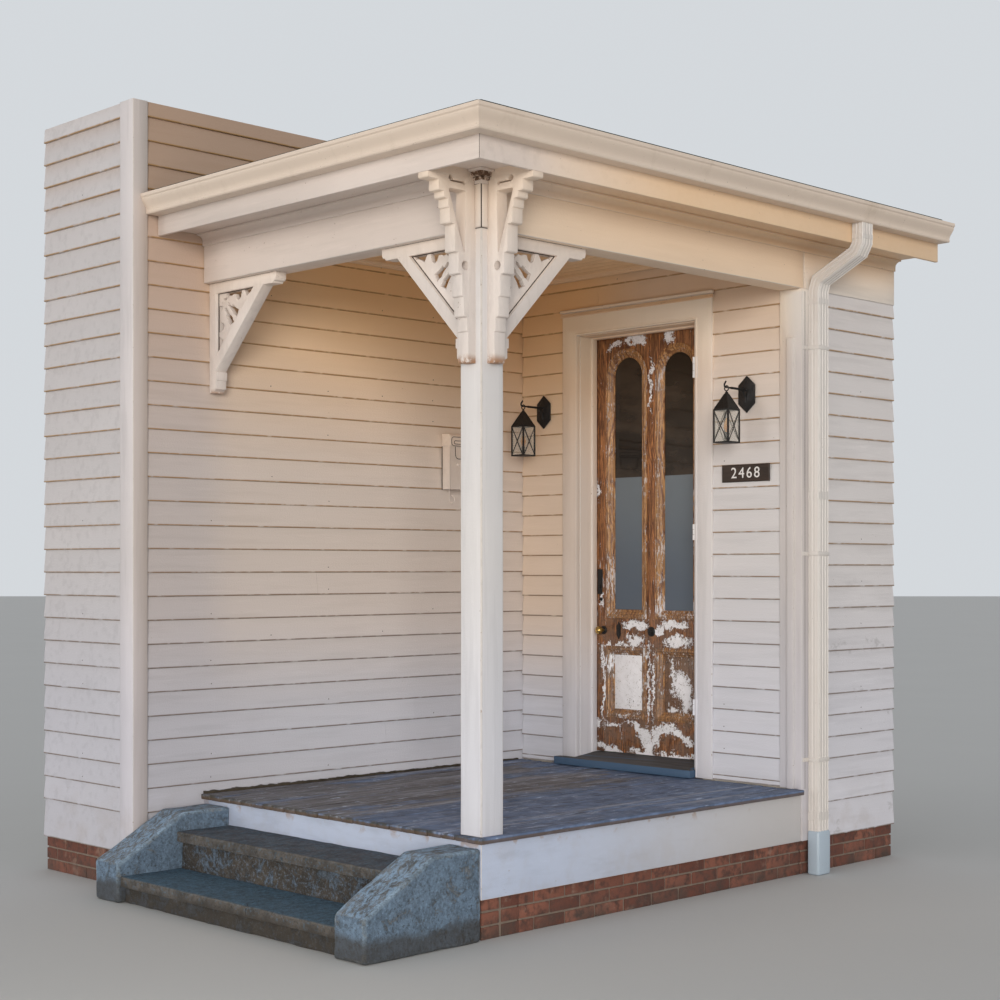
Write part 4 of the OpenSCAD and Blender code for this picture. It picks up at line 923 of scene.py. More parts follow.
def turned(bm, profile, centre, axis, steps=32):
    """Spins a profile of (distance, height) pairs about an axis through the centre."""
    side = axis.orthogonal().normalized()
    verts = [bm.verts.new(centre + side * r + axis * h) for r, h in profile]
    edges = [bm.edges.new(pair) for pair in zip(verts, verts[1:])]
    bmesh.ops.spin(bm, geom=verts + edges, cent=centre, axis=axis, dvec=(0, 0, 0),
                   angle=math.tau, steps=steps, use_merge=True, use_duplicate=False)
    bmesh.ops.remove_doubles(bm, verts=bm.verts[:], dist=1e-6)
    bmesh.ops.recalc_face_normals(bm, faces=bm.faces[:])


def rod(bm, points, radius, sides=10):
    """A round bar that follows a row of points."""
    points = [Vector(p) for p in points]
    line = (points[-1] - points[0]).normalized()
    up = line.orthogonal().normalized()
    if len(points) > 2:
        bend = (points[1] - points[0]).cross(points[-1] - points[-2])
        up = bend.normalized() if bend.length > 1e-9 else up
    add_sweep(bm, round_section(radius, sides), along_path(points, up), tone=None)


# Walls

SIDING_FOOT, SIDING_TOP = 0.022, 0.010
LAP, OUTER_LAP = 0.126, 0.120
# Heights of the lowest lap line on each wall
LEFT_FIRST, DOOR_FIRST, RIGHT_FIRST = 0.397, 0.498, 0.377
BUTT_JOINT = 0.0007
STUD_STEP = 0.405
# The paint hides every nail whose noise is under this.
BARE_NAIL = 0.22
NAIL_HEAD = [(0, 0.0009), (0.0022, 0.0008), (0.0032, 0.0003), (0.0032, -0.0015), (0, -0.0015)]


def lap_board(whole, rng, place, start, stop, low, high, foot=SIDING_FOOT, head=SIDING_TOP):
    """One siding board: x out of the wall, y up, from start to stop along z."""
    ease = 0.0025
    section = [(0, low), (foot - ease, low), (foot, low + ease), (foot - 0.0008, low + 0.016),
               (head, high), (0, high)]
    part = bmesh.new()
    count = max(1, round((stop - start) / 0.3))
    # Each board leans and waves a little
    tilt = rng.uniform(-0.0012, 0.0004)
    places = [place @ Matrix.Translation((0, 0, start + (stop - start) * i / count))
              for i in range(count + 1)]
    sweep(part, section, places)
    # The lap's lower edge, which gets dirt and painted shade
    lap_dirt_and_shade = part.verts.layers.float.new("lap_dirt_and_shade")
    to_wall = place.inverted()
    for v in part.verts:
        local = to_wall @ v.co
        v[lap_dirt_and_shade] = 1.0 if local.y < low + 0.006 and local.x > head else 0.0
        if local.x > 0.004:
            wave = noise.noise(Vector((local.z * 1.7, low * 9, 0))) * 0.0012
            v.co += place.to_3x3() @ Vector((tilt + wave - 0.0004, wave * 0.8, 0))
    gather(whole, part, tone=rng.random())
    nail_height = low + 0.030
    if high < nail_height + 0.02:
        return
    across = foot - 0.0008 - (foot - head) * (nail_height - low - 0.016) / (high - low - 0.016)
    out = place.to_3x3() @ X
    for i in range(int(start / STUD_STEP) + 1, int((stop - 0.012) / STUD_STEP) + 1):
        if noise.noise(Vector((i * 5.3, low * 37, 4.4))) < BARE_NAIL:
            continue
        along = i * STUD_STEP + 0.010 * noise.noise(Vector((i * 3.1, low * 31, 1.7)))
        wave = noise.noise(Vector((along * 1.7, low * 9, 0))) * 0.0012
        centre = place @ Vector((across + tilt + wave - 0.0004, nail_height + wave * 0.8, along))
        part = bmesh.new()
        turned(part, NAIL_HEAD, centre, out, 8)
        gather(whole, part, tone=0.5, finish=1)


def wall_place(origin, out, along):
    """A wall's own axes: x out of it, y up and z along it."""
    place = Matrix.Identity(4)
    for row in range(3):
        place[row][0], place[row][1] = out[row], Z[row]
        place[row][2], place[row][3] = along[row], origin[row]
    return place


def lap_siding(name, node, finish, seed, runs):
    """Boards over one CAD siding node. A run is (place, length, foot, top, first, lap, hole)."""
    rng = random.Random(seed)
    whole = new_whole()
    for place, length, foot, top, first, lap, hole in runs:
        edges = [foot] + [first + i * lap for i in range(int((top - first - 0.001) / lap) + 1)]
        for low, high in zip(edges, edges[1:] + [top]):
            thin = SIDING_FOOT - (SIDING_FOOT - SIDING_TOP) * min(1, (high - low) / lap)
            spans = [(0, length)]
            if hole and low < hole[2] - 0.02:
                spans = [(0, hole[0]), (hole[1], length)]
                if high > hole[2] + 0.002:
                    lap_board(whole, rng, place, hole[0], hole[1], hole[2], high, 0.014, thin)
            for start, stop in spans:
                ends = [start, stop]
                if stop - start > 1.8 and rng.random() < 0.45:
                    ends = [start, rng.uniform(start + 0.5, stop - 0.5), stop]
                for a, b in zip(ends, ends[1:]):
                    gap = BUTT_JOINT if b < stop else 0
                    lap_board(whole, rng, place, a, b - gap, low, high, SIDING_FOOT, thin)
    piece(name, whole, [finish, nail_finish], replaces=[node], smooth=20)


def build_siding():
    low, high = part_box("left_siding")
    corner_y, corner_x = -2.903, -1.057
    side = wall_place((high.x - SIDING_FOOT, corner_y, 0), X, Y)
    front = wall_place((low.x, low.y + SIDING_FOOT, 0), -Y, X)
    lap_siding("left_lap_boards", "left_siding", siding_y, 3, [
        (side, -corner_y - 0.095, low.z, high.z, LEFT_FIRST, LAP, None),
        (front, corner_x - low.x, low.z, high.z, LEFT_FIRST, LAP, None)])
    low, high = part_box("door_wall_siding")
    door_wall = wall_place((low.x, high.y, 0), -Y, X)
    doorway = (-0.576 - low.x, 0.604 - low.x, 3.258)
    lap_siding("door_wall_lap_boards", "door_wall_siding", siding_x, 5, [
        (door_wall, high.x - low.x, low.z, high.z, DOOR_FIRST, LAP, doorway)])
    low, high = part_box("right_siding")
    right = wall_place((low.x, low.y, 0), X, Y)
    lap_siding("right_lap_boards", "right_siding", siding_outside, 7, [
        (right, high.y - low.y, low.z, high.z, RIGHT_FIRST, OUTER_LAP, None)])


def brick_strip(bricks, cores, rng, low, high, axis):
    """Bricks in running bond, two deep, over a mortar core. The long side lies along axis."""
    across = 1 - axis
    length, depth, height = 0.200, 0.112, 0.056
    joint, courses = 0.0095, 3
    raked = 0.006
    core_low, core_high = list(low), list(high)
    for a in (0, 1):
        core_low[a] += raked
        core_high[a] -= raked
    add_box(cores, core_low, core_high, 0.002)
    for course in range(courses):
        z = low[2] + course * (height + joint) + (0.0005 if course == 0 else 0)
        for row in range(2):
            spot = low[axis] - (length + joint) / 2 * ((course + row) % 2)
            while spot < high[axis] - 0.02:
                a, b = max(spot, low[axis]), min(spot + length, high[axis])
                if b - a > 0.03:
                    start, stop = [0, 0, z], [0, 0, min(z + height, high[2])]
                    start[axis], stop[axis] = a, b
                    side = low[across] if row == 0 else high[across] - depth
                    start[across], stop[across] = side, side + depth
                    part = box_part(start, stop, 0.0035, 2)
                    roll_surface(part, 0.0022, 14, seed=rng.random() * 9)
                    gather(bricks, part, tone=rng.random() ** 1.3)
                spot += length + joint


def build_bricks():
    rng = random.Random(11)
    top = 0.1945
    strips = {
        "house": [((-1.848, -2.965, 0), (-0.958, -2.725, top), 0),
                  ((-1.198, -2.725, 0), (-0.958, 0.795, top), 1),
                  ((-0.958, -0.095, 0), (0.962, 0.145, top), 0),
                  ((0.962, -0.095, 0), (1.202, 0.795, top), 1)],
        "porch": [((-0.936, -2.523, 0), (1.200, -2.283, top), 0),
                  ((0.960, -2.283, 0), (1.200, -0.097, top), 1)]}
    for name, runs in strips.items():
        bricks, cores = new_whole(), new_whole()
        for low, high, axis in runs:
            brick_strip(bricks, cores, rng, low, high, axis)
        piece(name + "_bricks", bricks, brick_finish,
              replaces=[name + "_foundation"])
        piece(name + "_mortar", cores, mortar_finish)


# Floors and steps

def plank(whole, rng, low, high, axis, bevel=0.002, bow=0.001, step=0.25, finish=0):
    """A board with eased edges, cut across so that it can bow a little."""
    part = box_part(low, high, bevel, 2)
    slice_along(part, (X, Y, Z)[axis], step)
    roll_surface(part, bow, 2.6, seed=rng.random() * 40)
    gather(whole, part, tone=rng.random(), finish=finish)


def build_deck():
    rng = random.Random(21)
    low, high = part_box("deck_boards")
    whole = new_whole()
    nosing_w, gap, count = 0.092, 0.0026, 23
    width = (high.x - nosing_w - low.x) / count
    for i in range(count):
        x = low.x + i * width
        ragged = rng.uniform(0, 0.007) if i > 2 else 0.001
        drop = rng.uniform(0.0005, 0.0040)
        plank(whole, rng, (x + gap, low.y + ragged, low.z),
              (x + width - gap, high.y, high.z - drop), 1, bevel=0.005, bow=0.0018, step=0.16)
    plank(whole, rng, (high.x - nosing_w + 0.002, low.y, low.z), (high.x, high.y, high.z - 0.0005),
          1, bevel=0.005, bow=0.0008)
    piece("deck_planks", whole, deck_finish, replaces=["deck_boards"],
          smooth=25)

    whole = new_whole()
    low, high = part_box("room_floor")
    board_w, board_t, joist_w = 0.083, 0.025, 0.045
    y = low.y
    while y < high.y - 0.01:
        far = min(y + board_w, high.y)
        plank(whole, rng, (low.x, y + 0.0004, high.z - board_t), (high.x, far - 0.0004, high.z),
              0, bevel=0.0015, bow=0.0003, step=0.5)
        y += board_w
    for x in (low.x + 0.03, -0.55, -0.15, 0.25, 0.62, high.x - 0.075):
        plank(whole, rng, (x, low.y, low.z), (x + joist_w, high.y, high.z - 0.026), 1, finish=1)
    piece("room_floorboards", whole, [floor_timber, rough_timber],
          replaces=["room_floor"], smooth=25)


def build_steps():
    for node, bevel, segments, amount, finishes, slot in (
            ("step_slabs", 0.007, 3, 0.0024, [slab_finish, slab_edge], "concrete"),
            ("step_base", 0.008, 3, 0.0050, [riser_finish, riser_finish], "painted_concrete")):
        bm = worn(node, bevel, segments, cuts=((X, 0.045), (Y, 0.045)), roll=amount, scale=11)
        piece(node + "_worn", bm, finishes, replaces=[node])
    for side in ("left", "right"):
        node = side + "_cheek_wall"
        bm = worn(node, 0.016, 4, cuts=((X, 0.03), (Y, 0.03), (Z, 0.03)), roll=0.005, scale=10)
        piece(node + "_worn", bm, [cheek_finish, cheek_edge],
              replaces=[node])


# Roof

ROOF_RISE = 0.16
CEILING_Z = 3.475
CEILING_LOW, CEILING_HIGH = (-0.936, -2.407), (1.084, -0.117)


def moulding(name, path, up, section, finish, closed=False):
    """A piece of one section that runs along a path."""
    bm = new_whole()
    add_sweep(bm, section, along_path(path, up, closed), closed, tone=0.4)
    piece(name, bm, finish)


def build_ceiling():
    rng = random.Random(31)
    whole = new_whole()
    (low_x, low_y), (high_x, high_y) = CEILING_LOW, CEILING_HIGH
    count = 28
    width = (high_y - low_y) / count
    for i in range(count):
        y = low_y + i * width
        plank(whole, rng, (low_x, y + 0.0003, CEILING_Z), (high_x, y + width - 0.0003, 3.489), 0,
              bevel=0.0032, bow=0.0004, step=0.5)
        bead = [Vector((x, y + width / 2, 3.4755)) for x in (low_x, high_x)]
        add_sweep(whole, round_section(0.0035), along_path(bead, Z))
    piece("ceiling_beadboard", whole, ceiling_paint,
          replaces=["ceiling_boards"], smooth=30)
    cove = [(0, 0), (0.024, 0), (0.022, -0.007), (0.014, -0.012), (0.012, -0.019), (0.004, -0.024),
            (0, -0.024)]
    corners = [Vector((x, y, CEILING_Z)) for x, y in
               ((low_x, low_y), (high_x, low_y), (high_x, high_y), (low_x, high_y))]
    moulding("ceiling_cove", corners, Z, cove, trim_x, closed=True)


def shingle_slope(whole, rng, out, side, origin, run, width):
    """Shingles in courses. out points down the slope, side along the eave."""
    exposure, length, gap, thick = 0.142, 0.32, 0.004, 0.0055
    up_slope = (-out + Z * ROOF_RISE).normalized()
    normal = side.cross(up_slope)
    if normal.z < 0:
        normal = -normal
    courses = int(run / exposure) + 1
    for course in range(courses):
        low = course * exposure - (0.012 if course == 0 else 0)
        spot = -0.02 - rng.uniform(0, length)
        while spot < width:
            a, b = max(spot, 0), min(spot + length - gap, width)
            high = min(low + exposure + 0.02, run)
            if b - a > 0.01 and high > low + 0.01:
                part = bmesh.new()
                bmesh.ops.create_cube(part, size=1)
                for v in part.verts:
                    s = a + (b - a) * (v.co.x + 0.5)
                    t = low + (high - low) * (v.co.y + 0.5)
                    lift = thick * (1.55 - (v.co.y + 0.5)) if v.co.z > 0 else 0.0
                    v.co = origin + side * s + up_slope * t + normal * lift
                bmesh.ops.recalc_face_normals(part, faces=part.faces[:])
                gather(whole, part, tone=rng.random())
            spot += length


def build_roof():
    rng = random.Random(41)
    low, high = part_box("roof")
    eave = low.z + 0.026
    corner = Vector((high.x, low.y, eave))
    slant = math.hypot(1, ROOF_RISE)
    hip = (Vector((-1, 1, 0))).normalized()
    for name, out, side, origin, run, width, keep in (
            ("side_shingles", X, Y, corner, (high.x - low.x) * slant, high.y - low.y, 1),
            ("front_shingles", -Y, X, Vector((low.x, low.y, eave)),
             (high.x - low.x) * slant, high.x - low.x, -1)):
        whole = new_whole()
        shingle_slope(whole, rng, out, side, origin, run, width)
        across = Vector((1, 1, 0)).normalized() * keep
        cut = bmesh.ops.bisect_plane(whole, geom=whole.verts[:] + whole.edges[:] + whole.faces[:],
                                     plane_co=corner, plane_no=across, clear_inner=True)
        edges = [g for g in cut["geom_cut"] if isinstance(g, bmesh.types.BMEdge)]
        bmesh.ops.holes_fill(whole, edges=edges, sides=12)
        bmesh.ops.recalc_face_normals(whole, faces=whole.faces[:])
        piece(name, whole, roof_finish, smooth=0)
    caps = new_whole()
    reach, cap_l, first, spacing, count = 0.145, 0.235, 0.16, 0.2, 16
    drop = reach * ROOF_RISE / math.sqrt(2)
    section = [(-reach, 0.004 - drop), (0, 0.008), (reach, 0.004 - drop),
               (reach, 0.009 - drop), (0, 0.014), (-reach, 0.009 - drop)]
    for i in range(count):
        start = corner + hip * (first + i * spacing)
        start.z = eave + ROOF_RISE * (first + i * spacing) / math.sqrt(2)
        stop = start + (hip + Z * ROOF_RISE / math.sqrt(2)) * cap_l
        add_sweep(caps, section, along_path([start + Z * 0.005, stop], Z), tone=rng.random())
    piece("hip_caps", caps, roof_finish, smooth=0)
    bm = worn("fascia_boards", 0.003, 2)
    piece("fascia_worn", bm, trim_x, replaces=["fascia_boards"])


def spout_section(half_x, half_y, rib):
    """A rectangle with shallow ribs on all four sides."""
    points = []
    corners = [(-half_x, -half_y), (half_x, -half_y), (half_x, half_y), (-half_x, half_y)]
    for (x0, y0), (x1, y1), ribs in zip(corners, corners[1:] + corners[:1], (3, 4, 3, 4)):
        inward = Vector((-(y1 - y0), x1 - x0)).normalized()
        start, stop = Vector((x0, y0)), Vector((x1, y1))
        for i in range(ribs):
            for share, sunk in ((0.22, 0), (0.34, 1), (0.66, 1), (0.78, 0)):
                spot = start.lerp(stop, (i + share) / ribs)
                points.append(spot + inward * rib * sunk)
    return [(p.x, p.y, 0) for p in points]


def build_downspout():
    whole = new_whole()
    foot_x, top_x, y = 1.265, 1.5503, -0.020
    half_x, half_y = 0.0345, 0.0505
    path = [Vector((x, y, z)) for x, z in
            ((foot_x, 0.22), (foot_x, 1.16), (foot_x, 3.205), (1.285, 3.262), (1.525, 3.385),
             (top_x, 3.432), (top_x, 3.545))]
    add_sweep(whole, spout_section(half_x, half_y, 0.0035), along_path(path, Y), tone=0.3)
    for x, a, b, grow in ((foot_x, 0.30, 0.345, 0.0012), (foot_x, 2.06, 2.10, 0.0012),
                          (foot_x, 3.13, 3.16, 0.0014), (top_x, 3.45, 3.475, 0.0014)):
        add_sweep(whole, spout_section(half_x + grow, half_y + grow, 0.0012),
                  along_path([Vector((x, y, a)), Vector((x, y, b))], Y), tone=0.7)
    piece("downspout_ribbed", whole, spout_finish, replaces=["downspout"],
          smooth=30)
    whole = new_whole()
    part = box_part((1.231, y - 0.058, 0.001), (1.307, y + 0.058, 0.242), 0.012, 3)
    inset(part, faces_towards(part, Z), (0.004, 0))
    gather(whole, part, tone=0.9)
    piece("downspout_adapter", whole, adapter_finish)
    straps = new_whole()
    # Straps, with an ear and a screw on each side
    strap_h = 0.022
    screw = [(0, 0.006), (0.003, 0.0055), (0.0045, 0.0035), (0.0045, 0)]
    for z in (0.62, 1.75, 2.88):
        add_box(straps, (1.231, y - 0.0525, z), (1.3022, y + 0.0525, z + strap_h), 0.003, 2)
        for dy in (-0.075, 0.075):
            add_box(straps, (1.2305, y + dy - 0.024, z), (1.2335, y + dy + 0.024, z + strap_h),
                    0.001)
            turned(straps, screw, Vector((1.2325, y + dy * 1.1, z + strap_h / 2)), X, 12)
    piece("downspout_straps", straps, spout_finish)


GUTTER_CORNER = Vector((1.514, -2.837, 0))


def gutter_front(grow):
    """The gutter's outer face in section, out from the fascia and up, foot to lip."""
    bottom, bead, face, low, high = 3.535, 0.0726, 0.104, 3.553, 3.616
    points = [(0.004, bottom - grow), (bead, bottom - grow), (bead + 0.004 + grow, bottom + 0.006),
              (bead + 0.004 + grow, low - 0.004)]
    for i in range(9):
        points.append((bead + 0.002 + (face - bead - 0.002) * (1 - math.cos(math.pi * i / 8)) / 2
                       + grow, low + (high - low) * i / 8))
    return points


def gutter_skin(grow):
    """A thin closed band that lies over the gutter's outer face."""
    return gutter_front(grow) + [(x - 0.0015, z + 0.001) for x, z in gutter_front(0)][::-1]


def build_gutter():
    """Seams, joint bands and hidden hangers of the gutter. Its trough is the CAD node."""
    seams = new_whole()
    corner, section = GUTTER_CORNER, gutter_skin(0.0011)
    add_sweep(seams, section, along_path([corner - X * 0.03, corner, corner + Y * 0.03], Z),
              tone=0.8)
    for place, way in ((Vector((0.42, corner.y, 0)), X), (Vector((corner.x, -0.62, 0)), Y)):
        add_sweep(seams, section, along_path([place - way * 0.018, place + way * 0.018], Z),
                  tone=0.6)
    piece("gutter_seams", seams, gutter_finish)
    hangers = new_whole()
    low_z, high_z, strap_w = 3.627, 3.632, 0.02
    for x in (-0.62 + i * 0.6 for i in range(4)):
        add_box(hangers, (x, -2.944, low_z), (x + strap_w, -2.84, high_z), 0.0012)
    for y in (-2.5 + i * 0.62 for i in range(6)):
        add_box(hangers, (1.517, y, low_z), (1.621, y + strap_w, high_z), 0.0012)
    piece("gutter_hangers", hangers, gutter_finish)


# Post, brackets and trim

# Foot and top of the strips at the post's head
HEAD_LOW, HEAD_HIGH = 3.219, 3.412
# Each row is a node, its finish, slot and bevel, the axis it is sliced along and its waves
WORN_NODES = (
    ("post", post_paint, "painted_trim", 0.004, Z, 0.0016),
    ("front_beam", trim_x, "painted_trim", 0.004, X, 0.0012),
    ("side_beam", trim_y, "painted_trim", 0.004, Y, 0.0012),
    ("frieze_board", trim_y, "painted_trim", 0.003, Y, 0.0008),
    ("bed_moulding", trim_x, "painted_trim", 0.0012, None, 0),
    ("corner_boards", trim_z, "painted_trim", 0.003, Z, 0.0008),
    ("skirt_boards", skirt_paint, "painted_trim", 0.003, X, 0.0012),
    ("soffit_boards", trim_x, "painted_trim", 0.002, None, 0),
    ("door_casing", trim_z, "painted_trim", 0.003, Z, 0.0008),
    ("left_jamb", trim_z, "painted_trim", 0.002, None, 0),
    ("right_jamb", trim_z, "painted_trim", 0.002, None, 0),
    ("head_jamb", trim_x, "painted_trim", 0.002, None, 0),
    ("door_sill", sill_finish, "sill_paint", 0.004, X, 0.0015),
    ("front_eave_bracket", bracket_paint, "painted_brackets", 0.0028, None, 0),
    ("side_eave_bracket", bracket_paint, "painted_brackets", 0.0028, None, 0),
    ("wall_spandrel", bracket_paint, "painted_brackets", 0.003, None, 0),
    ("front_spandrel", bracket_paint, "painted_brackets", 0.003, None, 0),
    ("side_spandrel", bracket_paint, "painted_brackets", 0.003, None, 0),
    ("spandrel_frets", bracket_paint, "painted_brackets", 0.0024, None, 0),
)


def build_trim():
    """The timbers with eased edges, then strips, beads and old hinge leaves."""
    for node, finish, slot, bevel, along, wave in WORN_NODES:
        bm = worn(node, bevel, 2, cuts=((along, 0.12),) if along else (), roll=wave, scale=2.2)
        # The fretwork's edges take the painted-shadow finish
        edge = {"door_sill": sill_finish, "spandrel_frets": fret_shadow_edge}.get(node, worn_edge)
        piece(node + "_worn", bm, [finish, edge], replaces=[node])
    strips = new_whole()
    rng = random.Random(51)
    for a, b in ((1.086, 1.119), (1.189, 1.222)):
        plank(strips, rng, (a, -2.553, HEAD_LOW), (b, -2.546, HEAD_HIGH), 2, bow=0.0005)
    for a, b in ((-2.545, -2.512), (-2.442, -2.409)):
        plank(strips, rng, (1.223, a, HEAD_LOW), (1.230, b, HEAD_HIGH), 2, bow=0.0005)
    piece("post_head_strips", strips, post_paint)
    half_round = [(0.0055 + 0.0055 * math.cos(t), 0.0065 * math.sin(t))
                  for t in (math.pi * i / 6 for i in range(7))]
    bead = [(0, -0.004), (0.011, -0.004)] + half_round + [(0, 0)]
    path = [Vector((x, -0.1235, z)) for x, z in
            ((-0.456, 0.52), (-0.456, 3.116), (0.484, 3.116), (0.484, 0.474))]
    moulding("casing_bead", path, -Y, bead, trim_z)
    cap = [(0, 0), (0.010, 0), (0.010, 0.005), (0.004, 0.012), (0.003, 0.020), (0, 0.022)]
    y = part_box("door_casing")[0].y + 0.012
    moulding("casing_cap_moulding", [Vector((x, y, 3.232)) for x in (-0.585, 0.613)], Z,
             [(-x, z) for x, z in cap], trim_x)
    leaves = new_whole()
    for z, height in ((2.843, 0.122), (1.890, 0.093), (0.877, 0.093)):
        add_box(leaves, (0.475, -0.1262, z - height / 2), (0.498, -0.1225, z + height / 2),
                0.0012, 2)
        for dz in (-0.32, 0, 0.32):
            turned(leaves, [(0, 0.0018), (0.0026, 0.0015), (0.0034, 0.0)],
                   Vector((0.487, -0.126, z + dz * height)), -Y, 10)
        for k in range(3):
            foot = z + height * (k / 3 - 0.49)
            rod(leaves, [(0.4715, -0.1262, foot), (0.4715, -0.1262, foot + height * 0.31)],
                0.0058 if k != 1 else 0.0050, 12)
    piece("screen_door_hinge_leaves", leaves, post_paint)


def groove(whole, low, high):
    """A thin dark line where two pieces don't quite meet."""
    add_box(whole, low, high, 0.0004)


# Straight side and half thickness of the fretwork, and the bar round it
FRET_SIDE, FRET_HALF = 0.3408, 0.011
SPANDREL_BAR = 0.056


def fret_shadow_lines(whole):
    """Painted shadow round the fretwork of the corner brackets and over their top bars."""
    for node, along, out in (("wall_spandrel", X, -Y), ("front_spandrel", -X, -Y),
                             ("side_spandrel", Y, X)):
        low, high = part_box(node)
        middle = (low + high) / 2
        near, far = (low, high) if along != -X else (high, low)
        origin = middle + out * FRET_HALF
        origin += along * (near - middle).dot(along)
        origin.z = high.z
        a, b = SPANDREL_BAR, SPANDREL_BAR + FRET_SIDE
        points = [origin + along * x - Z * z for x, z in ((a, a), (b, a), (a, b))]
        add_sweep(whole, round_section(0.0036), along_path(points, out, True), True)
        face = middle + out * abs((high - low).dot(out)) / 2
        ends = [face + along * (end - face).dot(along)
                for end in (near + along * 0.004, far - along * 0.024)]
        for end in ends:
            end.z = high.z
        corners = [end + out * shift + Z * rise for end in ends
                   for shift, rise in ((0.0005, 0.0012), (-0.0020, -0.0012))]
        groove(whole, [min(c[i] for c in corners) for i in range(3)],
               [max(c[i] for c in corners) for i in range(3)])


def build_joints():
    """Dark lines where trim pieces opened a little, and painted shadow round the fretwork."""
    joints = new_whole()
    fret_shadow_lines(joints)
    groove(joints, (1.2290, -0.0972, 0.470), (1.2304, -0.0935, 3.200))
    for x0, y0, x1, y1 in ((1.1190, -2.5484, 1.1222, -2.5455), (1.2215, -2.5490, 1.2252, -2.5445),
                           (1.2232, -2.4452, 1.2256, -2.4420)):
        groove(joints, (x0, y0, 3.217), (x1, y1, HEAD_HIGH))
    groove(joints, (1.1190, -2.5488, 3.2150), (1.2256, -2.4420, 3.2168))
    low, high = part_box("fascia_boards")
    groove(joints, (high.x - 0.0014, low.y - 0.0004, low.z + 0.001),
           (high.x + 0.0004, low.y + 0.0014, high.z - 0.001))
    for x, y in ((1.084, -2.5478), (1.2243, -2.547)):
        groove(joints, (x - 0.0008, y - 0.0004, 0.470), (x + 0.0008, y + 0.0010, 0.4725))
    corner = GUTTER_CORNER
    add_sweep(joints, gutter_skin(0.0016),
              along_path([corner - X * 0.0014, corner, corner + Y * 0.0014], Z))
    piece("open_joints_and_fret_shadows", joints, joint_and_shade_finish, smooth=0)


def build_wall_foot():
    """The ragged line of dirt where the deck meets the left wall."""
    deck_low, deck_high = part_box("deck_boards")
    wall = max(deck_low.x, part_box("left_siding")[1].x)
    start, stop = deck_low.y + 0.02, deck_high.y - 0.04
    dirt = box_part((wall - 0.004, start, deck_high.z - 0.006),
                    (wall + 0.012, stop, deck_high.z + 0.004))
    slice_along(dirt, Y, 0.012)
    middle = wall + 0.004
    for v in dirt.verts:
        rough = noise.noise(v.co * 23) + 0.6 * noise.noise(v.co * 90)
        front = (stop - v.co.y) / (stop - start)
        if v.co.z > deck_high.z:
            v.co.z += 0.004 + 0.004 * front + 0.005 * rough * (0.5 + front)
        if v.co.x > middle:
            v.co.x += 0.010 * front + 0.007 * rough
    bmesh.ops.triangulate(dirt, faces=dirt.faces[:])
    piece("wall_foot_dirt", dirt, dirt_finish, smooth=0)


def build_capital():
    """The worn block and moulding that close the gap between the tall brackets."""
    whole = new_whole()
    for low, high, bevel in (((1.1215, -2.5560, 3.412), (1.2300, -2.4445, 3.428), 0.003),
                             ((1.1215, -2.5640, 3.428), (1.2410, -2.4445, 3.444), 0.005),
                             ((1.1215, -2.5780, 3.444), (1.2550, -2.4445, 3.4745), 0.007)):
        part = box_part(low, high, bevel, 3)
        slice_along(part, X, 0.03)
        roll_surface(part, 0.0012, 18)
        gather(whole, part, tone=0.6)
    piece("bracket_capital", whole, peeled_moulding)


# The door

# The door's left edge, foot and front face, and its openings
DOOR_LEFT, DOOR_Z, DOOR_Y = -0.445, 0.548, 0.050
PANE_W, PANE_H, PANE_Z = 0.282, 1.605, 0.849
PANE_LEFTS = (0.104, 0.504)
PANEL_Z, PANEL_H = 0.237, 0.392
FILL_DEPTH = 0.0225


def arch_path(left):
    """The outline of an arched pane in the door's front face, once round from its foot."""
    r, steps = PANE_W / 2, 18
    x, z = DOOR_LEFT + left, DOOR_Z + PANE_Z
    spring = z + PANE_H - r
    angles = [math.pi - math.pi * i / steps for i in range(1, steps)]
    arch = [(x + r + r * math.cos(t), spring + r * math.sin(t)) for t in angles]
    outline = [(x, z), (x, spring)] + arch + [(x + PANE_W, spring), (x + PANE_W, z)]
    return [Vector((a, DOOR_Y, b)) for a, b in outline]


def panel_path(left):
    """The outline of a panel's opening in the door's front face."""
    x, z = DOOR_LEFT + left, DOOR_Z + PANEL_Z
    return [Vector((a, DOOR_Y, b)) for a, b in
            ((x, z), (x, z + PANEL_H), (x + PANE_W, z + PANEL_H), (x + PANE_W, z))]


# Section of the mouldings: out from the opening and forward from the door's face
BOLECTION = [(0.0250, 0.0005), (0.0250, 0.0040), (0.0235, 0.0062), (0.0205, 0.0068),
             (0.0188, 0.0048), (0.0165, 0.0052), (0.0135, 0.0086), (0.0090, 0.0104),
             (0.0040, 0.0098), (0.0000, 0.0062), (-0.0025, 0.0022), (-0.0040, 0.0008),
             (-0.0075, 0.0002), (-0.0120, -0.0035), (-0.0165, -0.0095), (-0.0200, -0.0132),
             (-0.0215, -0.0136), (-0.0235, -0.0122), (-0.0265, -0.0128), (-0.0290, -0.0162),
             (-0.0300, -0.0224), (-0.0008, -0.0224), (-0.0008, 0.0005)]


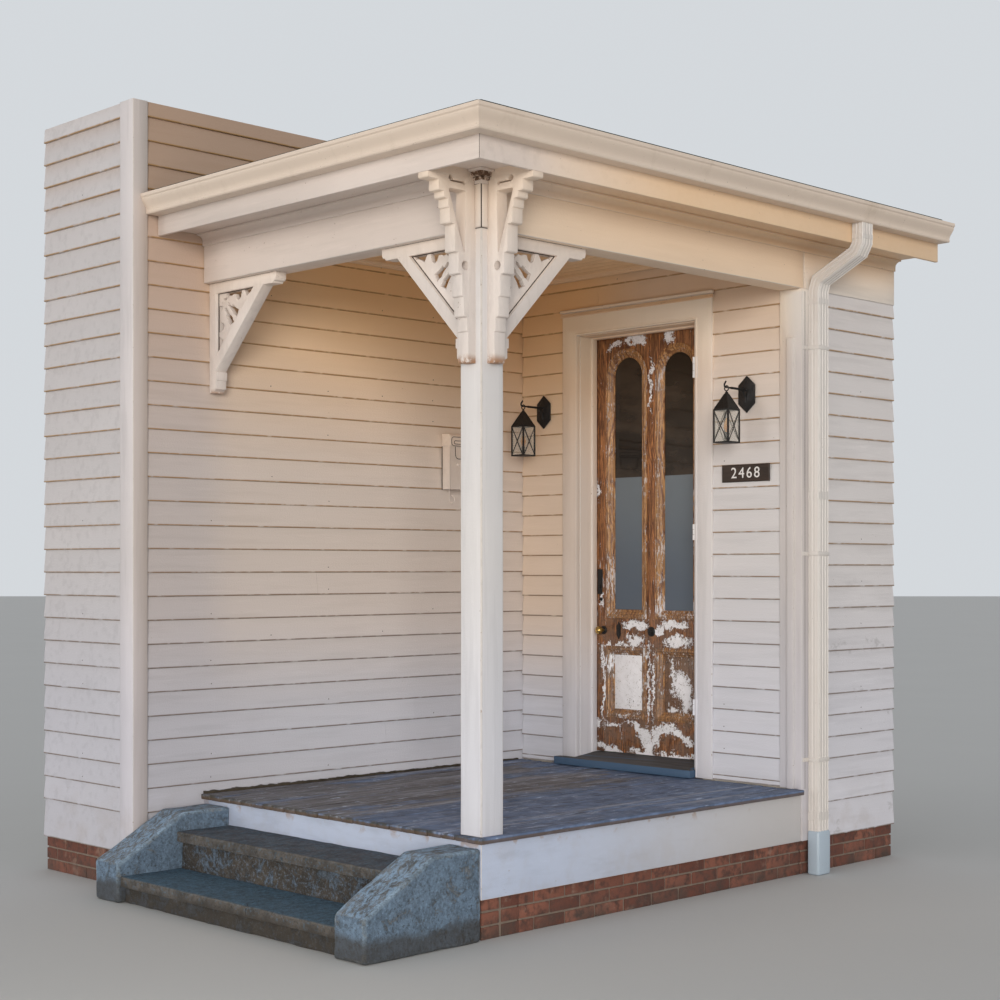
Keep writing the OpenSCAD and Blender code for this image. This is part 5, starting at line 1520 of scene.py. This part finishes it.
def build_door():
    body = "door_body"
    bm = worn("door_leaf", 0.0015, 2, cuts=((Z, 0.2),), roll=0.0005, scale=3)
    bm.verts.layers.float.new("white")
    piece("door_leaf_worn", bm, door_finish, body, ["door_leaf"])
    frames = new_whole()
    for left in PANE_LEFTS:
        for path in (arch_path(left), panel_path(left)):
            add_sweep(frames, BOLECTION, along_path(path, -Y, True), True, tone=0.2)
    piece("door_mouldings", frames, door_moulding_finish, body, ["door_beads"])
    panels = new_whole()
    panels.verts.layers.float.new("white")
    play, panel_t = 0.0005, 0.014
    for left, whiteness in zip(PANE_LEFTS, (1.0, 0.10)):
        x, z = DOOR_LEFT + left, DOOR_Z + PANEL_Z
        part = box_part((x + play, DOOR_Y + FILL_DEPTH, z + play),
                        (x + PANE_W - play, DOOR_Y + FILL_DEPTH + panel_t, z + PANEL_H - play))
        face = faces_towards(part, -Y)
        inset(part, face, (0.034, 0), (0.009, 0.0035))
        white = part.verts.layers.float.new("white")
        centre = set(v for f in face for v in f.verts)
        for v in part.verts:
            v[white] = whiteness if v in centre else 0.0
        gather(panels, part, tone=0.5)
    piece("door_raised_panels", panels, door_panel_finish, body, ["door_panels"])


KNOB_X, KNOB_Z = DOOR_LEFT + 0.058, 1.297


def build_ironwork():
    """Lock plate, bell, keyhole plate, hinges and knob."""
    body = "door_body"
    front = DOOR_Y
    iron_parts = new_whole()
    # Tall plate of the upper lock
    x, z = DOOR_LEFT + 0.030, 1.520
    add_box(iron_parts, (x - 0.020, front - 0.006, z), (x + 0.020, front, z + 0.155), 0.0022, 3)
    add_box(iron_parts, (x - 0.014, front - 0.0085, z + 0.012),
            (x + 0.014, front - 0.005, z + 0.143), 0.002, 2, tone=0.4)
    # Round plates: two cylinders and the rose of the knob, which has a hole
    for spot, r, rise in (((x, z + 0.0465), 0.015, 0.014), ((x + 0.008, z - 0.032), 0.011, 0.007),
                          ((KNOB_X, KNOB_Z), 0.0262, 0.0065)):
        hole = 0.0096 if r > 0.02 else 0
        profile = [(r, 0), (r, rise * 0.45), (r * 0.86, rise * 0.75), (r * 0.72, rise * 0.62),
                   (r * 0.62, rise), (max(hole, r * 0.3), rise)]
        profile += [(hole, 0.001)] if hole else [(0, rise * 0.8)]
        turned(iron_parts, profile, Vector((spot[0], front, spot[1])), -Y, 32)
    add_box(iron_parts, (x + 0.005, front - 0.0175, z - 0.0345),
            (x + 0.011, front - 0.006, z - 0.0295), 0.001, 2, tone=0.3)
    # Bell turn with a ring of beads
    bell = Vector((0, front, KNOB_Z))
    turned(iron_parts, [(0.030, 0), (0.030, 0.002), (0.027, 0.0045), (0.024, 0.0035),
                        (0.021, 0.0058), (0.015, 0.006), (0.014, 0.012), (0.0115, 0.0155),
                        (0.006, 0.0165), (0.0055, 0.018), (0, 0.018)], bell, -Y, 40)
    for i in range(12):
        t = math.tau * i / 12
        part = bmesh.new()
        bmesh.ops.create_icosphere(part, subdivisions=1, radius=0.0028, matrix=Matrix.Translation(
            bell + Vector((0.0255 * math.cos(t), -0.0035, 0.0255 * math.sin(t)))))
        gather(iron_parts, part, tone=0.4)
    add_box(iron_parts, (-0.0125, front - 0.0185, 1.294), (0.0125, front - 0.014, 1.300),
            0.0015, 2, tone=0.4)
    # Lobed keyhole plate
    centre = Vector((DOOR_LEFT + 0.182, front, KNOB_Z))
    for scale, rise in ((1.0, 0.002), (0.84, 0.0036), (0.5, 0.005)):
        outline = []
        for i in range(40):
            t = math.tau * i / 40
            lobes = 1 + 0.10 * math.cos(6 * t)
            outline.append(Vector((0.0185 * scale * lobes * math.sin(t), 0,
                                   0.050 * scale * lobes * math.cos(t))))
        add_sweep(iron_parts, outline, [Matrix.Translation(centre),
                                        Matrix.Translation(centre - Y * rise)])
    turned(iron_parts, [(0.0065, 0.004), (0.0065, 0.0064), (0.004, 0.0066), (0.003, 0.0045),
                        (0, 0.0045)], centre + Z * 0.012, -Y, 20)
    piece("door_ironwork", iron_parts, black_iron, body, ["door_lock"])
    for node, holder in (("door_hinges", body), ("hinge_leaves", GROUND_BODY)):
        bm = worn(node, 0.0006, 1, angle=40)
        piece(node + "_worn", bm, old_steel, holder, [node])
    knob = new_whole()
    centre = Vector((KNOB_X, front, KNOB_Z))
    turned(knob, [(0, 0.0008), (0.0086, 0.0008), (0.0086, 0.020), (0.0105, 0.0225), (0.0105, 0.025),
                  (0.0135, 0.0275), (0.0185, 0.0295), (0.0225, 0.0345), (0.0247, 0.0415),
                  (0.0247, 0.0475), (0.0232, 0.0535), (0.0205, 0.0580), (0.0195, 0.0592),
                  (0.0185, 0.0590), (0.0150, 0.0625), (0.0085, 0.0662), (0.0040, 0.0680),
                  (0, 0.0683)], centre, -Y, 48)
    piece("door_knob_turned", knob, brass_finish, "knob_body", ["door_knob"])


# Lanterns, mailbox and number board

PLATE_Z = 2.660
HANG = Vector((0, -0.302, 2.686))
LANTERNS = (("left", -0.742), ("right", 0.850))
# Drop from the ring to the frame's top, the frame's height and half its width
ROOF_DROP, CAGE_H, CAGE_HALF = 0.128, 0.182, 0.0535


def build_lantern(side, x):
    """A ring, a pyramid roof, a frame of four posts with crossed bars, and a candle bulb."""
    body = side + "_lantern_body"
    centre = Vector((x, HANG.y, HANG.z))
    top = centre.z - ROOF_DROP
    base = top - CAGE_H
    half = CAGE_HALF
    bm = new_whole()
    ring_r = 0.014
    ring_z = 0.0053 - ring_r + 0.0035
    ring = [centre + Vector((a, 0, ring_z + b)) for a, b in round_section(ring_r, 28)]
    add_sweep(bm, round_section(0.0033, 10), along_path(ring, Y, True), True, tone=None)
    # Finial and roof with ridged hips
    neck = Vector((x, HANG.y, top))
    turned(bm, [(0, 0.108), (0.0035, 0.1075), (0.0045, 0.104), (0.009, 0.101), (0.010, 0.096),
                (0.0065, 0.092), (0.0095, 0.088), (0.0095, 0.084), (0, 0.084)], neck, Z, 20)
    part = bmesh.new()
    bmesh.ops.create_cone(part, cap_ends=True, segments=4, radius1=half * 1.32, radius2=0.011,
                          depth=0.088, matrix=Matrix.Translation(neck + Z * 0.050)
                          @ Matrix.Rotation(math.radians(45), 4, "Z"))
    gather(bm, part)
    for i in range(4):
        turn = Matrix.Translation(neck) @ Matrix.Rotation(math.pi / 2 * i, 4, "Z")
        foot, peak = turn @ Vector((0.0505, 0.0505, 0.006)), turn @ Vector((0.008, 0.008, 0.093))
        rod(bm, [foot, peak], 0.0022, 6)
    # Plates at top and bottom, corner bars and crossed bars
    for z, low, high, reach, bevel in (
            (top, -0.002, 0.006, half + 0.0002, 0.0015), (top, 0.005, 0.009, half - 0.004, 0.0015),
            (base, 0, 0.005, half + 0.0002, 0.0012), (base, 0.005, 0.009, half - 0.005, 0.0012)):
        add_box(bm, (x - reach, HANG.y - reach, z + low), (x + reach, HANG.y + reach, z + high),
                bevel, 2, tone=None)
    bar = 0.0046
    for sx in (-1, 1):
        for sy in (-1, 1):
            a = Vector((x + sx * (half - 0.0044), HANG.y + sy * (half - 0.0044), 0))
            add_box(bm, (a.x - bar, a.y - bar, base + 0.004), (a.x + bar, a.y + bar, top), 0.001, 2,
                    tone=None)
    for i in range(4):
        turn = Matrix.Translation((x, HANG.y, 0)) @ Matrix.Rotation(math.pi / 2 * i, 4, "Z")
        reach = half - 0.0008
        for way in (-1, 1):
            a = turn @ Vector((reach, -way * 0.046, base + 0.010))
            b = turn @ Vector((reach, way * 0.046, top - 0.004))
            rod(bm, [a, b], 0.0027, 6)
    # Candle and bulb
    stem = Vector((x, HANG.y, base + 0.008))
    turned(bm, [(0.021, 0), (0.021, 0.003), (0.012, 0.006), (0.0105, 0.010), (0.0105, 0.052),
                (0.0085, 0.054), (0, 0.054)], stem, Z, 24)
    piece(side + "_lantern_frame", bm, black_iron, body, [side + "_lantern"])
    bulb = new_whole()
    turned(bulb, [(0.0075, 0.054), (0.0085, 0.060), (0.0145, 0.072), (0.0165, 0.084),
                  (0.0145, 0.098), (0.0090, 0.114), (0.0035, 0.128), (0, 0.133)], stem, Z, 24)
    piece(side + "_lantern_bulb", bulb, bulb_finish, body)
    panes = worn(side + "_lantern_glass", 0, 1)
    piece(side + "_lantern_panes", panes, lantern_glass, body,
          [side + "_lantern_glass"])


def shield(x, scale, rise, low_y):
    """An elongated six-sided plate on the wall."""
    w, h = 0.058 * scale, 0.104 * scale
    points = [(0, -h), (w, -h * 0.5), (w, h * 0.5), (0, h), (-w, h * 0.5), (-w, -h * 0.5)]
    part = bmesh.new()
    sweep(part, [(a, 0, b) for a, b in points],
          [Matrix.Translation((x, y, PLATE_Z)) for y in (low_y, low_y - rise)])
    inset(part, faces_towards(part, -Y), (0.007, 0.003))
    return part


def build_lantern_arm(bm, x):
    """A six-sided wall plate with a hooked bar and a curled brace under it."""
    face = -0.117
    gather(bm, shield(x, 1.0, 0.005, face), tone=0.5)
    gather(bm, shield(x, 0.72, 0.009, face), tone=0.4)
    for dz in (-0.075, 0.075):
        turned(bm, [(0, 0.005), (0.003, 0.0045), (0.0045, 0.0025), (0.0045, 0)],
               Vector((x, face - 0.007, PLATE_Z + dz)), -Y, 14)
    z = HANG.z
    tip, curl_r, brace_r = -0.309, 0.0125, 0.069
    rod(bm, [(x, face - 0.008, z), (x, -0.296, z), (x, tip, z)], 0.0048, 12)
    rod(bm, [(x, face - 0.008, z), (x, -0.180, z - 0.001), (x, -0.262, z)], 0.0068, 12)
    # Hook at the tip and quarter-round brace
    curl = [(x, tip, z)]
    for t in (math.radians(18 * i) for i in range(1, 9)):
        curl.append((x, tip - curl_r * math.sin(t), z + curl_r * (1 - math.cos(t))))
    curl.append((x, -0.3075, z + 0.034))
    rod(bm, curl, 0.0048, 10)
    scroll = [(x, face - 0.012 - brace_r * (1 - math.cos(t)), z - brace_r * (1 - math.sin(t)))
              for t in (math.radians(90 * i / 14) for i in range(15))]
    rod(bm, scroll, 0.0058, 10)
    turned(bm, [(0, 0.010), (0.005, 0.009), (0.009, 0.006), (0.011, 0.002), (0.011, 0)],
           Vector((x, face - 0.008, z)), -Y, 18)


def build_lanterns():
    arms = new_whole()
    for side, x in LANTERNS:
        build_lantern(side, x)
        build_lantern_arm(arms, x)
    piece("lantern_brackets", arms, black_iron, replaces=["lantern_arms"])


MAIL_X, MAIL_Y, MAIL_Z = -0.936, -0.682, 2.160
MAIL_HALF, MAIL_DEPTH, MAIL_H, MAIL_BACK_H = 0.125, 0.072, 0.262, 0.338


def build_mailbox():
    """A box of sheet metal with a stamped front, two rolled hooks below it and a lid."""
    box = new_whole()
    wall = 0.0012
    near, far = MAIL_Y - MAIL_HALF, MAIL_Y + MAIL_HALF
    back, out, top = MAIL_X, MAIL_X + MAIL_DEPTH, MAIL_Z + MAIL_H
    for low, high in (((back, near, MAIL_Z), (out, far, MAIL_Z + wall)),
                      ((back, near, MAIL_Z), (back + wall, far, MAIL_Z + MAIL_BACK_H)),
                      ((back, near, MAIL_Z), (out, near + wall, top)),
                      ((back, far - wall, MAIL_Z), (out, far, top))):
        add_box(box, low, high, 0.0004, tone=0.4)
    front = box_part((back + 0.0695, near, MAIL_Z), (out, far, top))
    inset(front, faces_towards(front, X), (0.016, 0), (0.003, -0.0012), (0.014, 0),
          (0.003, -0.0008))
    gather(box, front, tone=0.5)
    # Bar and studs on the front
    x, z = back + 0.0715, MAIL_Z + 0.150
    add_box(box, (x - 0.002, MAIL_Y - 0.055, z - 0.006), (x + 0.004, MAIL_Y + 0.055, z + 0.006),
            0.0025, 3)
    for dy, dz, r in ((-0.058, 0, 0.010), (0.058, 0, 0.010), (0, 0.034, 0.007), (0, -0.034, 0.007)):
        turned(box, [(r, -0.001), (r, 0.0015), (r * 0.7, 0.004), (r * 0.3, 0.0052), (0, 0.0055)],
               Vector((x, MAIL_Y + dy, z + dz)), X, 18)
    piece("mailbox_body", box, mail_finish, replaces=["mailbox"])
    hooks = new_whole()
    hook_r = 0.024
    for y in (MAIL_Y - 0.075, MAIL_Y + 0.075):
        curl = [(back + 0.034 + hook_r * math.cos(t), y, MAIL_Z - 0.062 + hook_r * math.sin(t))
                for t in (math.radians(-90 + 200 * i / 12) for i in range(1, 13))]
        path = [(back + 0.010, y, MAIL_Z + 0.004), (back + 0.008, y, MAIL_Z - 0.060),
                (back + 0.016, y, MAIL_Z - 0.079)] + curl
        rod(hooks, path, 0.0028, 8)
    piece("mailbox_hooks", hooks, mail_finish)
    seams = new_whole()
    # A dark strip along the box's edge at the wall: painted shade in the gap
    add_box(seams, (back + 0.0005, MAIL_Y - 0.1295, MAIL_Z - 0.002), (back + 0.0040, near, top),
            0.0005)
    # A dark rod round the stamped front's upper part: painted shade in its seam
    x, low, high = back + 0.0722, MAIL_Z + 0.185, MAIL_Z + 0.258
    rod(seams, [(x, MAIL_Y - 0.082, high), (x, MAIL_Y - 0.082, low + 0.024),
                (x, MAIL_Y - 0.075, low + 0.007), (x, MAIL_Y - 0.058, low),
                (x, MAIL_Y + 0.058, low), (x, MAIL_Y + 0.075, low + 0.007),
                (x, MAIL_Y + 0.082, low + 0.024), (x, MAIL_Y + 0.082, high)], 0.0022, 8)
    piece("mailbox_seam_shade", seams, joint_and_shade_finish)
    lid = worn("mailbox_lid", 0.0006, 1, angle=40)
    piece("mailbox_lid_worn", lid, mail_finish, "mailbox_lid_body",
          ["mailbox_lid"])
    grip = new_whole()
    low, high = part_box("mailbox_lid")
    x, grip_z = high.x, low.z + 0.022
    part = bmesh.new()
    outline = [Vector((0, math.copysign(0.088, math.cos(t)) + 0.010 * math.cos(t),
                       0.010 * math.sin(t)))
               for t in (math.tau * (i + 0.5) / 28 for i in range(28))]
    sweep(part, outline, [Matrix.Translation((a, MAIL_Y, grip_z)) for a in (x - 0.001, x + 0.0008)])
    inset(part, faces_towards(part, X), (0.0022, 0), (0.0015, -0.0016))
    gather(grip, part, tone=0.4)
    piece("mailbox_lid_grip", grip, mail_finish, "mailbox_lid_body")
    # Dark rods round the grip and its border: painted shade in the stamped recess
    rim = new_whole()
    middle = Vector((x + 0.0004, MAIL_Y, grip_z))
    border = [Vector((0, math.copysign(0.100, math.cos(t)) + 0.019 * math.cos(t),
                      math.copysign(0.008, math.sin(t)) + 0.019 * math.sin(t) + 0.006))
              for t in (math.tau * (i + 0.5) / 32 for i in range(32))]
    for line in (outline, border):
        add_sweep(rim, round_section(0.0020), along_path([middle + p for p in line], X, True), True)
    piece("mailbox_grip_shade", rim, joint_and_shade_finish, "mailbox_lid_body")


PLAIN_NUMERALS = "2468"
NUMERAL_SIZE = 0.086


def build_number_board():
    """A routed board with plain painted numerals."""
    low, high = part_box("number_board")
    board = new_whole()
    part = box_part(low, high, 0.0015, 2)
    inset(part, faces_towards(part, -Y), (0.008, 0), (0.002, -0.0015))
    gather(board, part, tone=0.3)
    piece("number_board_routed", board, plate_finish,
          replaces=["number_board"])
    curve = bpy.data.curves.new("numerals", "FONT")
    curve.body = PLAIN_NUMERALS
    curve.size = NUMERAL_SIZE
    curve.space_character = 1.25
    curve.align_x = "CENTER"
    curve.align_y = "CENTER"
    curve.extrude = 0.0012
    text = bpy.data.objects.new("numerals", curve)
    scene.collection.objects.link(text)
    bpy.context.view_layer.update()
    held = bpy.data.meshes.new_from_object(text)
    bpy.data.objects.remove(text)
    bm = new_whole()
    bm.from_mesh(held)
    centre = (low + high) / 2
    place = (Matrix.Translation((centre.x, low.y + 0.0008, centre.z - 0.001))
             @ Matrix.Rotation(math.radians(90), 4, "X"))
    bmesh.ops.transform(bm, matrix=place, verts=bm.verts)
    bmesh.ops.remove_doubles(bm, verts=bm.verts[:], dist=1e-6)
    piece("plain_numerals", bm, numeral_finish)


def finish_left_nodes():
    """Gives their materials to the CAD nodes whose own shape is shown."""
    walls = ("left_wall", "front_wall_stub", "door_wall_left", "door_wall_right",
             "door_wall_over", "right_wall")
    shown = {"deck_joists": rough_timber, "roof_frame": rough_timber, "roof": roof_finish,
             "gutter": gutter_finish, "door_glass": pane_finish}
    shown.update({node: wall_plaster for node in walls})
    for node, finish in shown.items():
        mesh = nodes[node].data
        mesh.materials.clear()
        mesh.materials.append(finish)


set_camera()
set_floor()
set_light()
finish_left_nodes()
build_siding()
build_bricks()
build_deck()
build_steps()
build_ceiling()
build_roof()
build_downspout()
build_gutter()
build_trim()
build_joints()
build_wall_foot()
build_capital()
build_door()
build_ironwork()
build_lanterns()
build_mailbox()
build_number_board()
